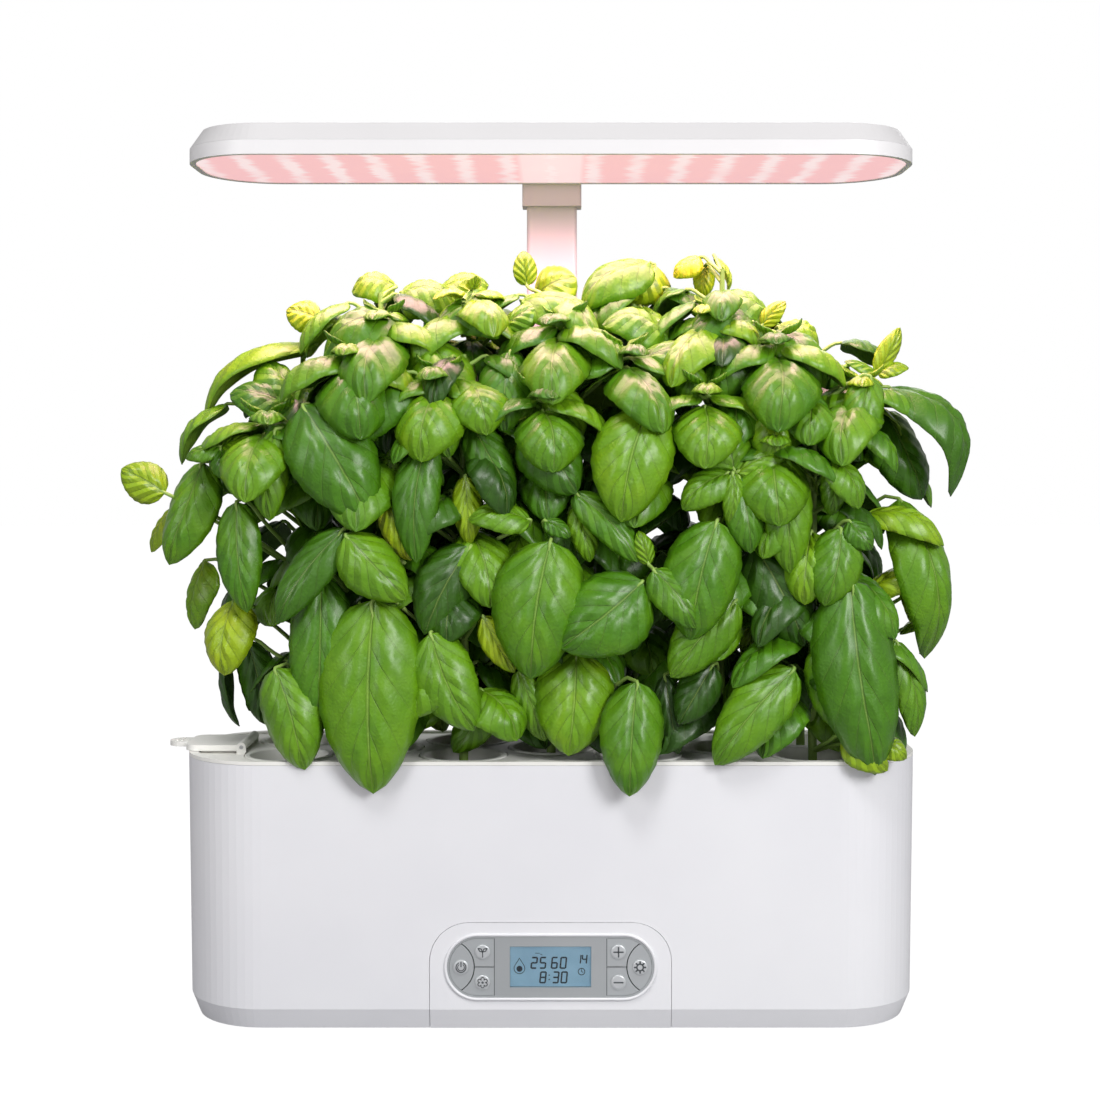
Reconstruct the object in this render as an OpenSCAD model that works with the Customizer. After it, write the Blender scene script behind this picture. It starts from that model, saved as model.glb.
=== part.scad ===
// Countertop hydroponic garden: a water tank with a lift-off grow deck, eleven net cups,
// a filler flap, a control panel with six keys, a circulation pump, a level float and a
// grow lamp on a telescopic mast.  Millimetres, +Z up, the front looks along -Y.
// Origin: centre of the tank's footprint, on the surface that the feet stand on.

/* [Base] */
// Length of the base at its rim
base_w = 378; // [370:1:420]
// Depth of the base at its rim
base_d = 104; // [102:1:120]
// Corner radius of the rim, seen from above
corner_r = 44; // [36:1:48]
// Height of the rim above the surface
rim_z = 135.75; // [128:0.25:150]
// Wall of the tank
tank_wall = 2.6; // [2:0.1:4]
// How far each side leans in from the rim to the bottom band
side_draft = 1.75; // [0.5:0.25:3]
// Height of the sloping band round the bottom
band_h = 10.5; // [8:0.5:13]
// How far the band slopes in
band_in = 4.25; // [2:0.25:6]
// How far the rubber feet stand below the tank
foot_proud = 1; // [0.6:0.1:2]
// Diameter of a rubber foot
foot_d = 16; // [12:1:20]

/* [Grow deck] */
// Height of the white rim edge of the deck
rim_h = 1.75; // [1.5:0.05:2.5]
// Width of the raised rim of the deck
rim_in = 4.5; // [4:0.1:5]
// Depth of the deck's surface below the rim
deck_sink = 1.15; // [0.8:0.05:1.4]
// Thickness of the deck plate
deck_t = 2.6; // [2.2:0.1:4]
// Parting gap between the tank and the deck
parting = 0.15; // [0.1:0.05:0.4]
// Distance from an end of the base to the centre of the nearest cup
end_room = 54; // [53:0.5:60]
// Distance between two rows of cups
row_gap = 24; // [22:0.5:25]

/* [Net cups] */
// Diameter of a cup's flange
flange_d = 45; // [43:0.5:46]
// Outer diameter of a cup under its flange
cup_d = 42; // [39:0.5:42]
// Diameter of a cup at its foot
cup_foot_d = 30; // [24:1:34]
// Height of a cup under the deck's surface
cup_h = 55; // [45:1:62]
// Wall of a cup
cup_wall = 1.2; // [0.8:0.1:1.6]
// How far the flange stands above the deck
flange_up = 0.5; // [0.2:0.1:1]

/* [Filler flap] */
// Length of the flap from its hinge to its edge
flap_l = 30; // [26:0.5:34]
// Width of the flap
flap_w = 35; // [28:0.5:38]
// Thickness of the flap
flap_t = 3; // [2.4:0.1:4]
// Width of the finger tab
tab_w = 14.5; // [10:0.5:18]
// How far the finger tab reaches past the flap
tab_l = 11; // [8:0.5:14]
// Diameter of the hinge pin
pin_d = 2; // [1.6:0.1:2.4]

/* [Control panel] */
// Width of the white cover
cover_w = 121; // [112:1:130]
// Height of the cover's top edge
cover_top = 55; // [52:0.5:60]
// Radius of the cover's upper corners
cover_r = 19.5; // [12:0.5:22]
// Length of the silver panel
panel_w = 103.6; // [98:0.2:106]
// Height of the silver panel
panel_h = 30.6; // [28:0.2:32]
// Height of the panel's centre
panel_z = 33; // [32:0.25:35]
// Width of the display window
window_w = 40.7; // [36:0.1:46]
// Height of the display window
window_h = 20.5; // [17:0.1:23]
// Half width of the middle field, where the keys begin
field_x = 28; // [26:0.25:30]
// Radius of the round end keys
end_key_r = 13.6; // [12:0.1:15]
// Gap between two keys
key_gap = 0.5; // [0.3:0.1:0.8]
// Radius of the raised dot on a key
dot_r = 4; // [3:0.1:4.5]

/* [Lamp and mast] */
// Length of the lamp head
lamp_w = 376; // [340:1:400]
// Depth of the lamp head
lamp_d = 103; // [96:1:103]
// Corner radius of the lamp head
lamp_r = 40; // [30:1:46]
// Height of the lamp's underside above the surface
lamp_z = 440; // [432:1:470]
// Height of the lamp's upright edge
edge_h = 7.25; // [6:0.25:10]
// Height of the sloping edge above it
slope_h = 9.5; // [7:0.5:12]
// How far the sloping edge leans in
slope_in = 6.4; // [4:0.2:9]
// Width of the lower mast sleeve
sleeve_w = 36; // [34:0.5:40]
// Depth of the lower mast sleeve
sleeve_d = 16; // [15:0.5:20]
// Height of the top of the sleeve
sleeve_top = 262; // [220:1:300]
// Width of the upper post
post_w = 28; // [24:0.5:29]
// Depth of the upper post
post_d = 12; // [10:0.5:12]

/* [Plants] */
// Height of the tallest plant above the deck
plant_h = 262; // [240:1:280]
// Thickness of a leaf at its midrib
leaf_t = 1.6; // [1.2:0.1:2.4]
// Radius of a leaf stalk
stalk_r = 1.1; // [0.9:0.1:1.6]
// Radius of a main stem at its foot
stem_r = 2.4; // [1.8:0.1:3]

/* [Hidden] */
$fn = 72;

// Clearances
slide_gap = 0.4;     // round the post in its sleeve
seat_gap = 0.3;      // round a part that is set in a pocket
key_play = 0.15;     // round a key in its frame
pin_gap = 0.05;      // round a pin or shaft that turns
cup_play = 0.2;      // round a net cup in the deck
cover_gap = 0.25;    // round the white cover
eps = 0.01;

// Levels of the tank and the deck
tank_top = rim_z - rim_h - parting;
floor_z = foot_proud + tank_wall;
band_top = foot_proud + band_h;
deck_top = rim_z - deck_sink;
deck_under = deck_top - deck_t;
skirt_h = 5;
skirt_t = 1.8;
plug_in = tank_wall + seat_gap + 0.1;   // the deck's lower part stays inside the tank wall

// How far the outside stands in from the rim at height z, above the band
function lean(z) = side_draft * (rim_z - z) / (rim_z - band_top);

// ---------- plane figures with true arcs ----------
module plate(w, d, r) {
    square([w - 2 * r, d], center = true);
    square([w, d - 2 * r], center = true);
    for (sx = [-1, 1], sy = [-1, 1])
        translate([sx * (w / 2 - r), sy * (d / 2 - r)]) circle(r);
}

module stadium(w, h) {
    square([w - h, h], center = true);
    for (s = [-1, 1]) translate([s * (w - h) / 2, 0]) circle(h / 2);
}

module ring_plate(w, d, r, t) {
    difference() {
        plate(w, d, r);
        plate(w - 2 * t, d - 2 * t, r - t);
    }
}

// A figure drawn in X and Z, extruded from y_back forwards to y_front
module upright(y_back, y_front) {
    translate([0, y_back, 0]) rotate([90, 0, 0]) linear_extrude(y_back - y_front) children();
}

// ---------- tank ----------
module tank_level(z, inset) {
    translate([0, 0, z]) linear_extrude(eps)
        plate(base_w - 2 * inset, base_d - 2 * inset, corner_r - inset, $fn = 64);
}

// The leaning outside of the tank, moved in by inset, from z0 to z1
module tank_form(inset, z0, z1) {
    low = max(z0, foot_proud);
    band = band_in * (band_top - low) / band_h;
    hull() {
        tank_level(low, lean(band_top) + band + inset);
        tank_level(band_top, lean(band_top) + inset);
        tank_level(z1 - eps, lean(z1) + inset);
    }
}

// Rear socket that takes the mast sleeve
socket_wall = 2.6;
sleeve_y = base_d / 2 + 0.6 + sleeve_d / 2;
socket_w = sleeve_w + 2 * (seat_gap + socket_wall);
socket_back = sleeve_y + sleeve_d / 2 + seat_gap + socket_wall;
socket_front = base_d / 2 - tank_wall - side_draft;
socket_top = rim_z - 22;
sleeve_foot = 24;
socket_r = 6;

// Front pocket for the electronics
pocket_y = -base_d / 2 + 14;
pocket_wall = 2.4;
ledge = 3;
cover_t = 2.2;
foot_in = [50, 26];      // from the rim to the centre of a foot
foot_x = base_w / 2 - foot_in[0];
foot_y = base_d / 2 - foot_in[1];
foot_deep = 1.2;

// An arch: straight sides and bottom, rounded upper corners
module arch_figure(half, low, high, r) {
    translate([-half, low]) square([2 * half, high - r - low]);
    translate([-half + r, low]) square([2 * (half - r), high - low]);
    for (s = [-1, 1]) translate([s * (half - r), high - r]) circle(r);
}

module cover_figure(grow) {
    arch_figure(cover_w / 2 + grow, 0, cover_top + grow, cover_r + grow);
}

module pocket_figure(grow) {
    arch_figure(cover_w / 2 - ledge + grow, band_top - 4 - grow, cover_top - ledge + grow,
        cover_r - ledge + grow);
}

module socket_block() {
    translate([0, (socket_front + socket_back) / 2, foot_proud])
        linear_extrude(socket_top - foot_proud)
            plate(socket_w, socket_back - socket_front, socket_r);
}

module socket_hollows() {
    // seat of the sleeve
    translate([0, sleeve_y, sleeve_foot]) linear_extrude(socket_top)
        plate(sleeve_w + 2 * seat_gap, sleeve_d + 2 * seat_gap, 3);
    // dry chamber of the power inlet, below the sleeve
    translate([0, sleeve_y, floor_z]) linear_extrude(sleeve_foot)
        plate(sleeve_w - 6, sleeve_d - 4, 2);
    translate([0, sleeve_y, inlet_z]) rotate([-90, 0, 0]) cylinder(r = inlet_r + 0.1, h = 30);
}

module tank_body() {
    color("whitesmoke") difference() {
        union() {
            difference() {
                tank_form(0, 0, tank_top);
                tank_form(tank_wall, floor_z, tank_top + 2);
            }
            intersection() {
                tank_form(tank_wall / 2, 0, tank_top);
                upright(pocket_y + pocket_wall, -base_d) pocket_figure(pocket_wall);
            }
            socket_block();
        }
        // recess of the white cover, as deep as the cover
        difference() {
            upright(pocket_y, -base_d) cover_figure(cover_gap);
            tank_form(cover_t + 0.1, 0, tank_top);
        }
        upright(pocket_y, -base_d) pocket_figure(0);
        socket_hollows();
        for (sx = [-1, 1], sy = [-1, 1])
            translate([sx * foot_x, sy * foot_y, foot_proud - 1])
                cylinder(d = foot_d + 0.4, h = foot_deep + 1);
    }
}

module rubber_feet() {
    color("dimgray") for (sx = [-1, 1], sy = [-1, 1]) translate([sx * foot_x, sy * foot_y, 0]) {
        cylinder(d1 = foot_d - 1, d2 = foot_d, h = 0.6);
        translate([0, 0, 0.6]) cylinder(d = foot_d, h = foot_proud + foot_deep - 0.6);
    }
}

// ---------- power inlet ----------
inlet_z = 13;
inlet_r = 5.5;
inlet_flange = 7;

module dc_inlet() {
    back = socket_back;
    color("black") difference() {
        union() {
            translate([0, back - 9, inlet_z]) rotate([-90, 0, 0]) cylinder(r = inlet_r, h = 9.4);
            translate([0, back, inlet_z]) rotate([-90, 0, 0]) cylinder(r = inlet_flange, h = 1);
        }
        difference() {
            translate([0, back - 7.5, inlet_z]) rotate([-90, 0, 0]) cylinder(r = 3.2, h = 12);
            translate([0, back - 9, inlet_z]) rotate([-90, 0, 0]) cylinder(r = 1, h = 8);
        }
    }
}

// ---------- mast sleeve ----------
sleeve_r = 3;
post_r = 2.6;
cap_h = 9;

module sleeve_bore(h) {
    linear_extrude(h) plate(post_w + 2 * slide_gap, post_d + 2 * slide_gap, post_r + slide_gap);
}

module mast_sleeve() {
    color("white") translate([0, sleeve_y, sleeve_foot]) difference() {
        linear_extrude(sleeve_top - sleeve_foot) plate(sleeve_w, sleeve_d, sleeve_r);
        translate([0, 0, -1]) sleeve_bore(sleeve_top);
    }
}

// The cap closes the sleeve's top edge round the post
module sleeve_cap() {
    color("white") translate([0, sleeve_y, sleeve_top]) difference() {
        union() {
            linear_extrude(2) plate(sleeve_w, sleeve_d, sleeve_r);
            translate([0, 0, 2]) linear_extrude(1) plate(sleeve_w - 2, sleeve_d - 2, sleeve_r - 1);
        }
        translate([0, 0, -1]) sleeve_bore(cap_h);
    }
}

// ---------- control panel ----------
proud = 0.35;
face_y = -(base_d / 2 - lean(panel_z + panel_h / 2)) - proud - 0.1;
lip_t = 1.4;
lip_up = 0.4;
bezel_t = 2.4;
bezel_rim = 1;
key_t = 1.6;
key_travel = 0.6;
stem_l = 1.6;
board_y = face_y + 6.6;
board_t = 1.6;
board_w = cover_w - 11;
board_h = 26;
board_r = 6;
boss_x = cover_w / 2 - 8.5;
boss_z = 9.5;
boss_r = 2.4;
screw_r = 1;
hook_x = 30;

module panel_move() {
    translate([0, 0, panel_z]) children();
}

module control_cover() {
    color("white") {
        difference() {
            union() {
                intersection() {
                    difference() {
                        tank_form(-proud, 0, tank_top);
                        tank_form(cover_t, 0, tank_top + 1);
                    }
                    upright(pocket_y, -base_d) cover_figure(0);
                }
                // raised lip round the panel
                panel_move() upright(face_y + bezel_t, face_y - lip_up)
                    stadium(panel_w + 2 * lip_t, panel_h + 2 * lip_t);
                // bosses that carry the circuit board
                for (sx = [-1, 1], sz = [-1, 1])
                    translate([sx * boss_x, 0, panel_z + sz * boss_z])
                        upright(board_y, face_y + 1.2) circle(boss_r);
            }
            panel_move() upright(0, -base_d) stadium(panel_w + 0.1, panel_h + 0.1);
            for (sx = [-1, 1], sz = [-1, 1])
                translate([sx * boss_x, 0, panel_z + sz * boss_z])
                    upright(board_y + 1, board_y - 4) circle(screw_r + pin_gap);
        }
        // snap hooks behind the ledge of the pocket
        for (s = [-1, 1]) translate([s * hook_x, 0, cover_top - ledge - 1.6]) cover_hook();
    }
}

module cover_hook() {
    top = 1.4;
    y0 = face_y + 1.8;
    translate([-4, y0, -0.4]) cube([8, 6, top]);
}

module control_bezel() {
    color("silver") panel_move() upright(face_y + bezel_t, face_y) difference() {
        stadium(panel_w, panel_h);
        square([window_w, window_h], center = true);
        intersection() {
            stadium(panel_w - 2 * bezel_rim, panel_h - 2 * bezel_rim);
            for (s = [-1, 1]) translate([s * (field_x + panel_w / 2), 0])
                square([panel_w, panel_h], center = true);
        }
    }
}

module lcd_lens() {
    color("lightsteelblue") panel_move() upright(face_y + 1.5, face_y + 0.2)
        square([window_w - 0.2, window_h - 0.2], center = true);
}

module lcd_module() {
    color("slategray") panel_move() {
        upright(bezel_back() + 0.1, face_y + 1.6)
            square([window_w - 0.6, window_h - 0.6], center = true);
        upright(board_y, bezel_back()) square([window_w + 5, window_h + 5], center = true);
    }
}

function bezel_back() = face_y + bezel_t;

// Keys: s is the side (-1 left, 1 right), part is 0 for the round end key,
// 1 for the upper and -1 for the lower one
module key_figure(s, part) {
    play = 2 * (bezel_rim + key_play);
    intersection() {
        stadium(panel_w - play, panel_h - play);
        if (part == 0) {
            translate([s * panel_w / 2, 0]) circle(end_key_r - key_gap / 2);
        } else {
            difference() {
                translate([s * (field_x + key_play + panel_w / 2), part * (key_gap / 2 + panel_h)])
                    square([panel_w, 2 * panel_h], center = true);
                translate([s * panel_w / 2, 0]) circle(end_key_r + key_gap / 2);
            }
        }
    }
}

// Where the raised dot of a key sits, from the panel's centre
function dot_place(s, part) = part == 0
    ? [s * (panel_w / 2 - end_key_r / 2), 0]
    : [s * (field_x + 6), part * panel_h / 4];

module key(s, part) {
    dot = dot_place(s, part);
    color("silver") panel_move() {
        upright(face_y + key_t, face_y) key_figure(s, part);
        translate([dot[0], 0, dot[1]]) {
            upright(face_y + eps, face_y - 0.35) circle(dot_r);
            upright(face_y + key_t + stem_l, face_y + key_t - eps) circle(1.5);
        }
    }
}

module power_button() { key(-1, 0); }
module seedling_button() { key(-1, 1); }
module bloom_button() { key(-1, -1); }
module plus_button() { key(1, 1); }
module minus_button() { key(1, -1); }
module light_button() { key(1, 0); }

module circuit_board() {
    switch_y = face_y + key_t + stem_l + key_travel + 0.2;
    color("darkgreen") panel_move() {
        difference() {
            upright(board_y + board_t, board_y) plate(board_w, board_h, board_r);
            for (sx = [-1, 1], sz = [-1, 1]) translate([sx * boss_x, 0, sz * boss_z])
                upright(board_y + board_t + 1, board_y - 1) circle(screw_r + pin_gap);
        }
        for (s = [-1, 1], part = [-1, 0, 1]) {
            dot = dot_place(s, part);
            translate([dot[0], 0, dot[1]]) {
                upright(board_y, board_y - 1.6) square([5, 5], center = true);
                upright(board_y - 1.6, switch_y) circle(1.4);
            }
        }
    }
    // chips and plug on the back of the board
    color("dimgray") panel_move() {
        for (x = [-30, 0, 24]) translate([x, 0, 0])
            upright(board_y + board_t + 1.4, board_y + board_t) square([9, 9], center = true);
        translate([40, 0, 0])
            upright(board_y + board_t + 3.4, board_y + board_t) square([6, 10], center = true);
    }
}

module board_screws() {
    color("silver") for (sx = [-1, 1], sz = [-1, 1])
        translate([sx * boss_x, 0, panel_z + sz * boss_z]) {
            upright(board_y + board_t, board_y - 3) circle(screw_r);
            upright(board_y + board_t + 1.2, board_y + board_t) circle(screw_r * 1.9);
        }
}

// ---------- pump ----------
pump_room = 62;
pump_x = base_w / 2 - pump_room;
pump_l = 40;
pump_w = 30;
pump_h = 30;
pump_axis_z = floor_z + 15;
chamber_r = 10.5;
chamber_l = 13;
shaft_r = 1.5;
nozzle_r = 5;
nozzle_h = 8;

module pump_body() {
    color("dimgray") difference() {
        union() {
            translate([pump_x, 0, floor_z]) linear_extrude(pump_h) plate(pump_l, pump_w, 5);
            translate([pump_x - pump_l / 2 + chamber_l / 2 + 1, 0, floor_z + pump_h - eps])
                cylinder(r = nozzle_r, h = nozzle_h);
        }
        // impeller chamber, open to the left, with the bearing behind it
        translate([pump_x - pump_l / 2 - 1, 0, pump_axis_z]) rotate([0, 90, 0])
            cylinder(r = chamber_r, h = chamber_l + 1);
        translate([pump_x - pump_l / 2, 0, pump_axis_z]) rotate([0, 90, 0])
            cylinder(r = shaft_r + pin_gap, h = chamber_l + 14);
        // outlet bore
        translate([pump_x - pump_l / 2 + chamber_l / 2 + 1, 0, pump_axis_z])
            cylinder(r = nozzle_r - 1.6, h = pump_h + nozzle_h);
    }
}

module pump_impeller() {
    back = pump_x - pump_l / 2 + chamber_l - 0.8;
    color("gainsboro") translate([back, 0, pump_axis_z]) rotate([0, -90, 0]) {
        cylinder(r = chamber_r - 1, h = 1.4);
        cylinder(r = 3, h = 8);
        for (a = [0 : 60 : 300]) rotate([0, 0, a + 12]) translate([2, -0.5, 0])
            cube([chamber_r - 3.4, 1, 7.4]);
        translate([0, 0, -12]) cylinder(r = shaft_r, h = 13);
    }
}

// Slotted intake cap in front of the impeller
module pump_filter() {
    left = pump_x - pump_l / 2;
    color("gray") difference() {
        translate([left - 3, 0, floor_z]) translate([0, -pump_w / 2 + 2, 0])
            cube([3, pump_w - 4, pump_h - 2]);
        for (y = [-9 : 4.5 : 9]) translate([left - 4, y - 1, floor_z + 5])
            cube([5, 2, pump_h - 12]);
    }
}

// Riser that mixes the water: a tube on the outlet with a side mouth
module return_tube() {
    x = pump_x - pump_l / 2 + chamber_l / 2 + 1;
    color("lightgray") translate([x, 0, floor_z + pump_h]) difference() {
        union() {
            cylinder(r = nozzle_r + 1.6, h = 26);
            translate([0, 0, 20]) rotate([0, -90, 0]) cylinder(r = 4.4, h = 14);
        }
        translate([0, 0, -1]) cylinder(r = nozzle_r + pin_gap, h = nozzle_h + 1.2);
        cylinder(r = nozzle_r - 1.6, h = 24);
        translate([0, 0, 20]) rotate([0, -90, 0]) cylinder(r = 3, h = 15);
    }
}

// ---------- level float ----------
float_x = -(base_w / 2 - 34);
float_stem_r = 3;
float_stem_h = 64;
float_r = 13;
float_h = 16;
float_low = 34;

module float_stem() {
    color("white") translate([float_x, 0, floor_z]) {
        cylinder(r = 9, h = 2);
        cylinder(r = float_stem_r, h = float_stem_h);
        translate([0, 0, float_stem_h]) cylinder(r = 5, h = 2);
    }
}

module level_float() {
    color("orange") translate([float_x, 0, floor_z + float_low]) difference() {
        union() {
            cylinder(r = float_r, h = float_h - 2);
            translate([0, 0, float_h - 2]) cylinder(r1 = float_r, r2 = float_r - 2, h = 2);
        }
        translate([0, 0, -1]) cylinder(r = float_stem_r + slide_gap, h = float_h + 2);
    }
}

// ---------- grow deck ----------
cup_pitch = (base_w - 2 * end_room) / 3;
hole_near = [for (i = [-1.5 : 1 : 1.5]) [i * cup_pitch, -row_gap]];
hole_mid = [for (i = [-1 : 1 : 1]) [i * cup_pitch, 0]];
hole_far = [for (i = [-1.5 : 1 : 1.5]) [i * cup_pitch, row_gap]];
holes = concat(hole_near, hole_mid, hole_far);
planted = [1, 3, 4, 5, 6, 7, 8, 9, 10];
recess_deep = 1;
recess_gap = 0.7;
collar_t = 1.6;
collar_h = 4;

// Flap: hinge at the right, finger tab at the left over the end of the base
flap_hinge_x = -(base_w / 2 + 1 - flap_l);
flap_y = -2.5;
flap_z = rim_z + 0.25;
barrel_r = 2.4;
barrel_z = flap_z + barrel_r - 0.2;
ear_t = 2.2;
ear_gap = 0.25;
port_l = flap_l - 13;
port_w = flap_w - 11;
port_x = flap_hinge_x - 5 - port_l / 2;
port_wall = 1.6;

module grow_deck() {
    color("ivory") difference() {
        union() {
            translate([0, 0, deck_under]) linear_extrude(deck_t)
                plate(base_w - 2 * plug_in, base_d - 2 * plug_in, corner_r - plug_in);
            translate([0, 0, rim_z - rim_h]) linear_extrude(rim_h)
                ring_plate(base_w, base_d, corner_r, rim_in);
            translate([0, 0, deck_under - skirt_h]) linear_extrude(skirt_h + eps)
                ring_plate(base_w - 2 * plug_in, base_d - 2 * plug_in, corner_r - plug_in, skirt_t);
            for (h = holes) translate([h[0], h[1], deck_under - collar_h])
                cylinder(r = cup_d / 2 + cup_play + collar_t, h = collar_h + eps);
            translate([port_x, flap_y, deck_under]) linear_extrude(flap_z - 0.1 - deck_under)
                plate(port_l + 2 * port_wall, port_w + 2 * port_wall, 3);
            for (s = [-1, 1]) flap_ear(s);
        }
        for (h = holes) translate([h[0], h[1], 0]) {
            translate([0, 0, deck_under - collar_h - 1])
                cylinder(r = cup_d / 2 + cup_play, h = collar_h + deck_t + 2);
            translate([0, 0, deck_top - recess_deep])
                cylinder(r = flange_d / 2 + recess_gap, h = recess_deep + 1);
        }
        translate([port_x, flap_y, deck_under - 1]) linear_extrude(12)
            plate(port_l, port_w, 2);
        translate([flap_hinge_x, flap_y - flap_w, barrel_z]) rotate([-90, 0, 0])
            cylinder(d = pin_d + 2 * pin_gap, h = 2 * flap_w);
    }
}

module flap_ear(s) {
    y = flap_y + s * (flap_w / 2 + ear_gap + ear_t / 2);
    translate([flap_hinge_x, y - ear_t / 2, barrel_z]) rotate([-90, 0, 0])
        cylinder(r = barrel_r, h = ear_t);
    translate([flap_hinge_x - barrel_r, y - ear_t / 2, deck_top - eps])
        cube([2 * barrel_r, ear_t, barrel_z - deck_top]);
}

module flap_pin() {
    reach = flap_w / 2 + ear_gap + ear_t;
    color("silver") translate([flap_hinge_x, flap_y - reach, barrel_z]) rotate([-90, 0, 0])
        cylinder(d = pin_d, h = 2 * reach);
}

module fill_flap() {
    edge_x = flap_hinge_x - flap_l;
    color("white") difference() {
        union() {
            // plate with rounded free corners
            translate([0, flap_y, flap_z]) linear_extrude(flap_t) {
                translate([edge_x + 6, -flap_w / 2]) square([flap_l - 6, flap_w]);
                translate([edge_x, -flap_w / 2 + 6]) square([flap_l, flap_w - 12]);
                for (s = [-1, 1]) translate([edge_x + 6, s * (flap_w / 2 - 6)]) circle(6);
            }
            // finger tab with a round end and a lip round it
            translate([0, flap_y + 1, flap_z + 0.4]) linear_extrude(flap_t - 0.4) {
                translate([edge_x - tab_l + tab_w / 2, -tab_w / 2]) square([tab_l, tab_w]);
                translate([edge_x - tab_l + tab_w / 2, 0]) circle(tab_w / 2);
            }
            for (i = [0 : 2]) translate([edge_x - tab_l + 4 + i * 2.4, flap_y - 3, flap_z + flap_t])
                cube([0.9, 8, 0.3]);
            translate([flap_hinge_x, flap_y - flap_w / 2, barrel_z]) rotate([-90, 0, 0])
                cylinder(r = barrel_r, h = flap_w);
        }
        translate([flap_hinge_x, flap_y - flap_w, barrel_z]) rotate([-90, 0, 0])
            cylinder(d = pin_d + 2 * pin_gap, h = 2 * flap_w);
    }
}

// ---------- net cups and growing plugs ----------
cup_floor = 1.5;
slot_w = 3.2;
slot_low = 5;
slot_high = 32;
plug_top = 8;
plug_gap = 0.3;

// Outer radius of a cup at a depth below the deck's surface
function cup_r(deep) = cup_d / 2 - (cup_d - cup_foot_d) / 2 * deep / cup_h;

module net_cup(i) {
    seat = recess_deep;
    color("gray") translate([holes[i][0], holes[i][1], deck_top]) difference() {
        rotate_extrude() polygon([
            [0, -cup_h], [cup_r(cup_h), -cup_h], [cup_r(seat), -seat], [flange_d / 2, -seat],
            [flange_d / 2, flange_up - 0.3], [flange_d / 2 - 0.3, flange_up],
            [cup_r(0) - cup_wall + 0.5, flange_up], [cup_r(0) - cup_wall, flange_up - 0.5],
            [cup_r(cup_h - cup_floor) - cup_wall, -cup_h + cup_floor], [0, -cup_h + cup_floor]]);
        for (a = [0 : 45 : 135]) rotate([0, 0, a])
            translate([-cup_d, -slot_w / 2, -cup_h + slot_low])
                cube([2 * cup_d, slot_w, slot_high - slot_low]);
        for (a = [22.5 : 90 : 292.5]) rotate([0, 0, a]) translate([cup_foot_d / 4, 0, -cup_h - 1])
            cylinder(d = slot_w, h = cup_floor + 2);
    }
}

module grow_plugs() {
    low = cup_h - cup_floor;
    color("saddlebrown") for (k = planted) translate([holes[k][0], holes[k][1], deck_top - low])
        cylinder(r1 = cup_r(low) - cup_wall - plug_gap,
            r2 = cup_r(plug_top) - cup_wall - plug_gap, h = low - plug_top);
}

module net_cup_1() { net_cup(0); }
module net_cup_2() { net_cup(1); }
module net_cup_3() { net_cup(2); }
module net_cup_4() { net_cup(3); }
module net_cup_5() { net_cup(4); }
module net_cup_6() { net_cup(5); }
module net_cup_7() { net_cup(6); }
module net_cup_8() { net_cup(7); }
module net_cup_9() { net_cup(8); }
module net_cup_10() { net_cup(9); }
module net_cup_11() { net_cup(10); }

// ---------- lamp ----------
lamp_back = 1;          // how far the lamp's rear edge stays in front of the base's
lamp_y = base_d / 2 - lamp_back - lamp_d / 2;
head_z = lamp_z + edge_h;
lamp_wall = 2.4;
crown_h = 1.4;
crown_in = 8;
lip_in = 3.2;
lip_h = 1;
diffuser_t = 1.6;
board_in = 14;
led_board_t = 1.6;
chip = 3.2;
chip_h = 0.9;
led_columns = 20;
led_rows = 4;
led_pitch_x = (lamp_w - 2 * board_in - 20) / (led_columns - 1);
led_pitch_y = (lamp_d - 2 * board_in - 18) / (led_rows - 1);
stand_r = 3;
stand_x = (led_columns / 2 - 2) * led_pitch_x;    // midway between two columns of chips
stand_y = led_pitch_y;

module lamp_level(z, inset) {
    translate([0, lamp_y, z]) linear_extrude(eps)
        plate(lamp_w - 2 * inset, lamp_d - 2 * inset, lamp_r - inset, $fn = 64);
}

module lamp_dome(inset, z0) {
    hull() {
        lamp_level(z0, inset);
        lamp_level(head_z + slope_h - inset, slope_in + inset * 0.6);
        lamp_level(head_z + slope_h + crown_h - eps - inset, slope_in + crown_in + inset);
    }
}

module lamp_frame() {
    color("white") translate([0, lamp_y, 0]) {
        translate([0, 0, lamp_z + lip_h]) linear_extrude(edge_h - lip_h)
            ring_plate(lamp_w, lamp_d, lamp_r, lamp_wall);
        translate([0, 0, lamp_z]) linear_extrude(lip_h + eps)
            ring_plate(lamp_w, lamp_d, lamp_r, lip_in);
    }
}

module lamp_diffuser() {
    gap = lamp_wall + 0.2;
    color("mistyrose") translate([0, lamp_y, 0]) {
        translate([0, 0, lamp_z + lip_h + 0.1]) linear_extrude(diffuser_t)
            plate(lamp_w - 2 * gap, lamp_d - 2 * gap, lamp_r - gap);
        translate([0, 0, lamp_z + 0.4]) linear_extrude(lip_h)
            plate(lamp_w - 2 * lip_in - 0.4, lamp_d - 2 * lip_in - 0.4, lamp_r - lip_in - 0.2);
    }
}

module stand_places() {
    for (sx = [-1, 0, 1], sy = [-1, 1])
        translate([sx * stand_x, lamp_y + sy * stand_y, 0]) children();
}

led_board_z = head_z - 1;

module lamp_top_shell() {
    color("white") {
        difference() {
            lamp_dome(0, head_z + 0.05);
            lamp_dome(lamp_wall, head_z - 1);
        }
        // posts that carry the lamp board
        difference() {
            stand_places() translate([0, 0, led_board_z + led_board_t])
                cylinder(r = stand_r, h = head_z + slope_h - led_board_z - led_board_t - 1);
            stand_places() translate([0, 0, led_board_z])
                cylinder(r = screw_r + pin_gap, h = 6);
        }
    }
}

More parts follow.
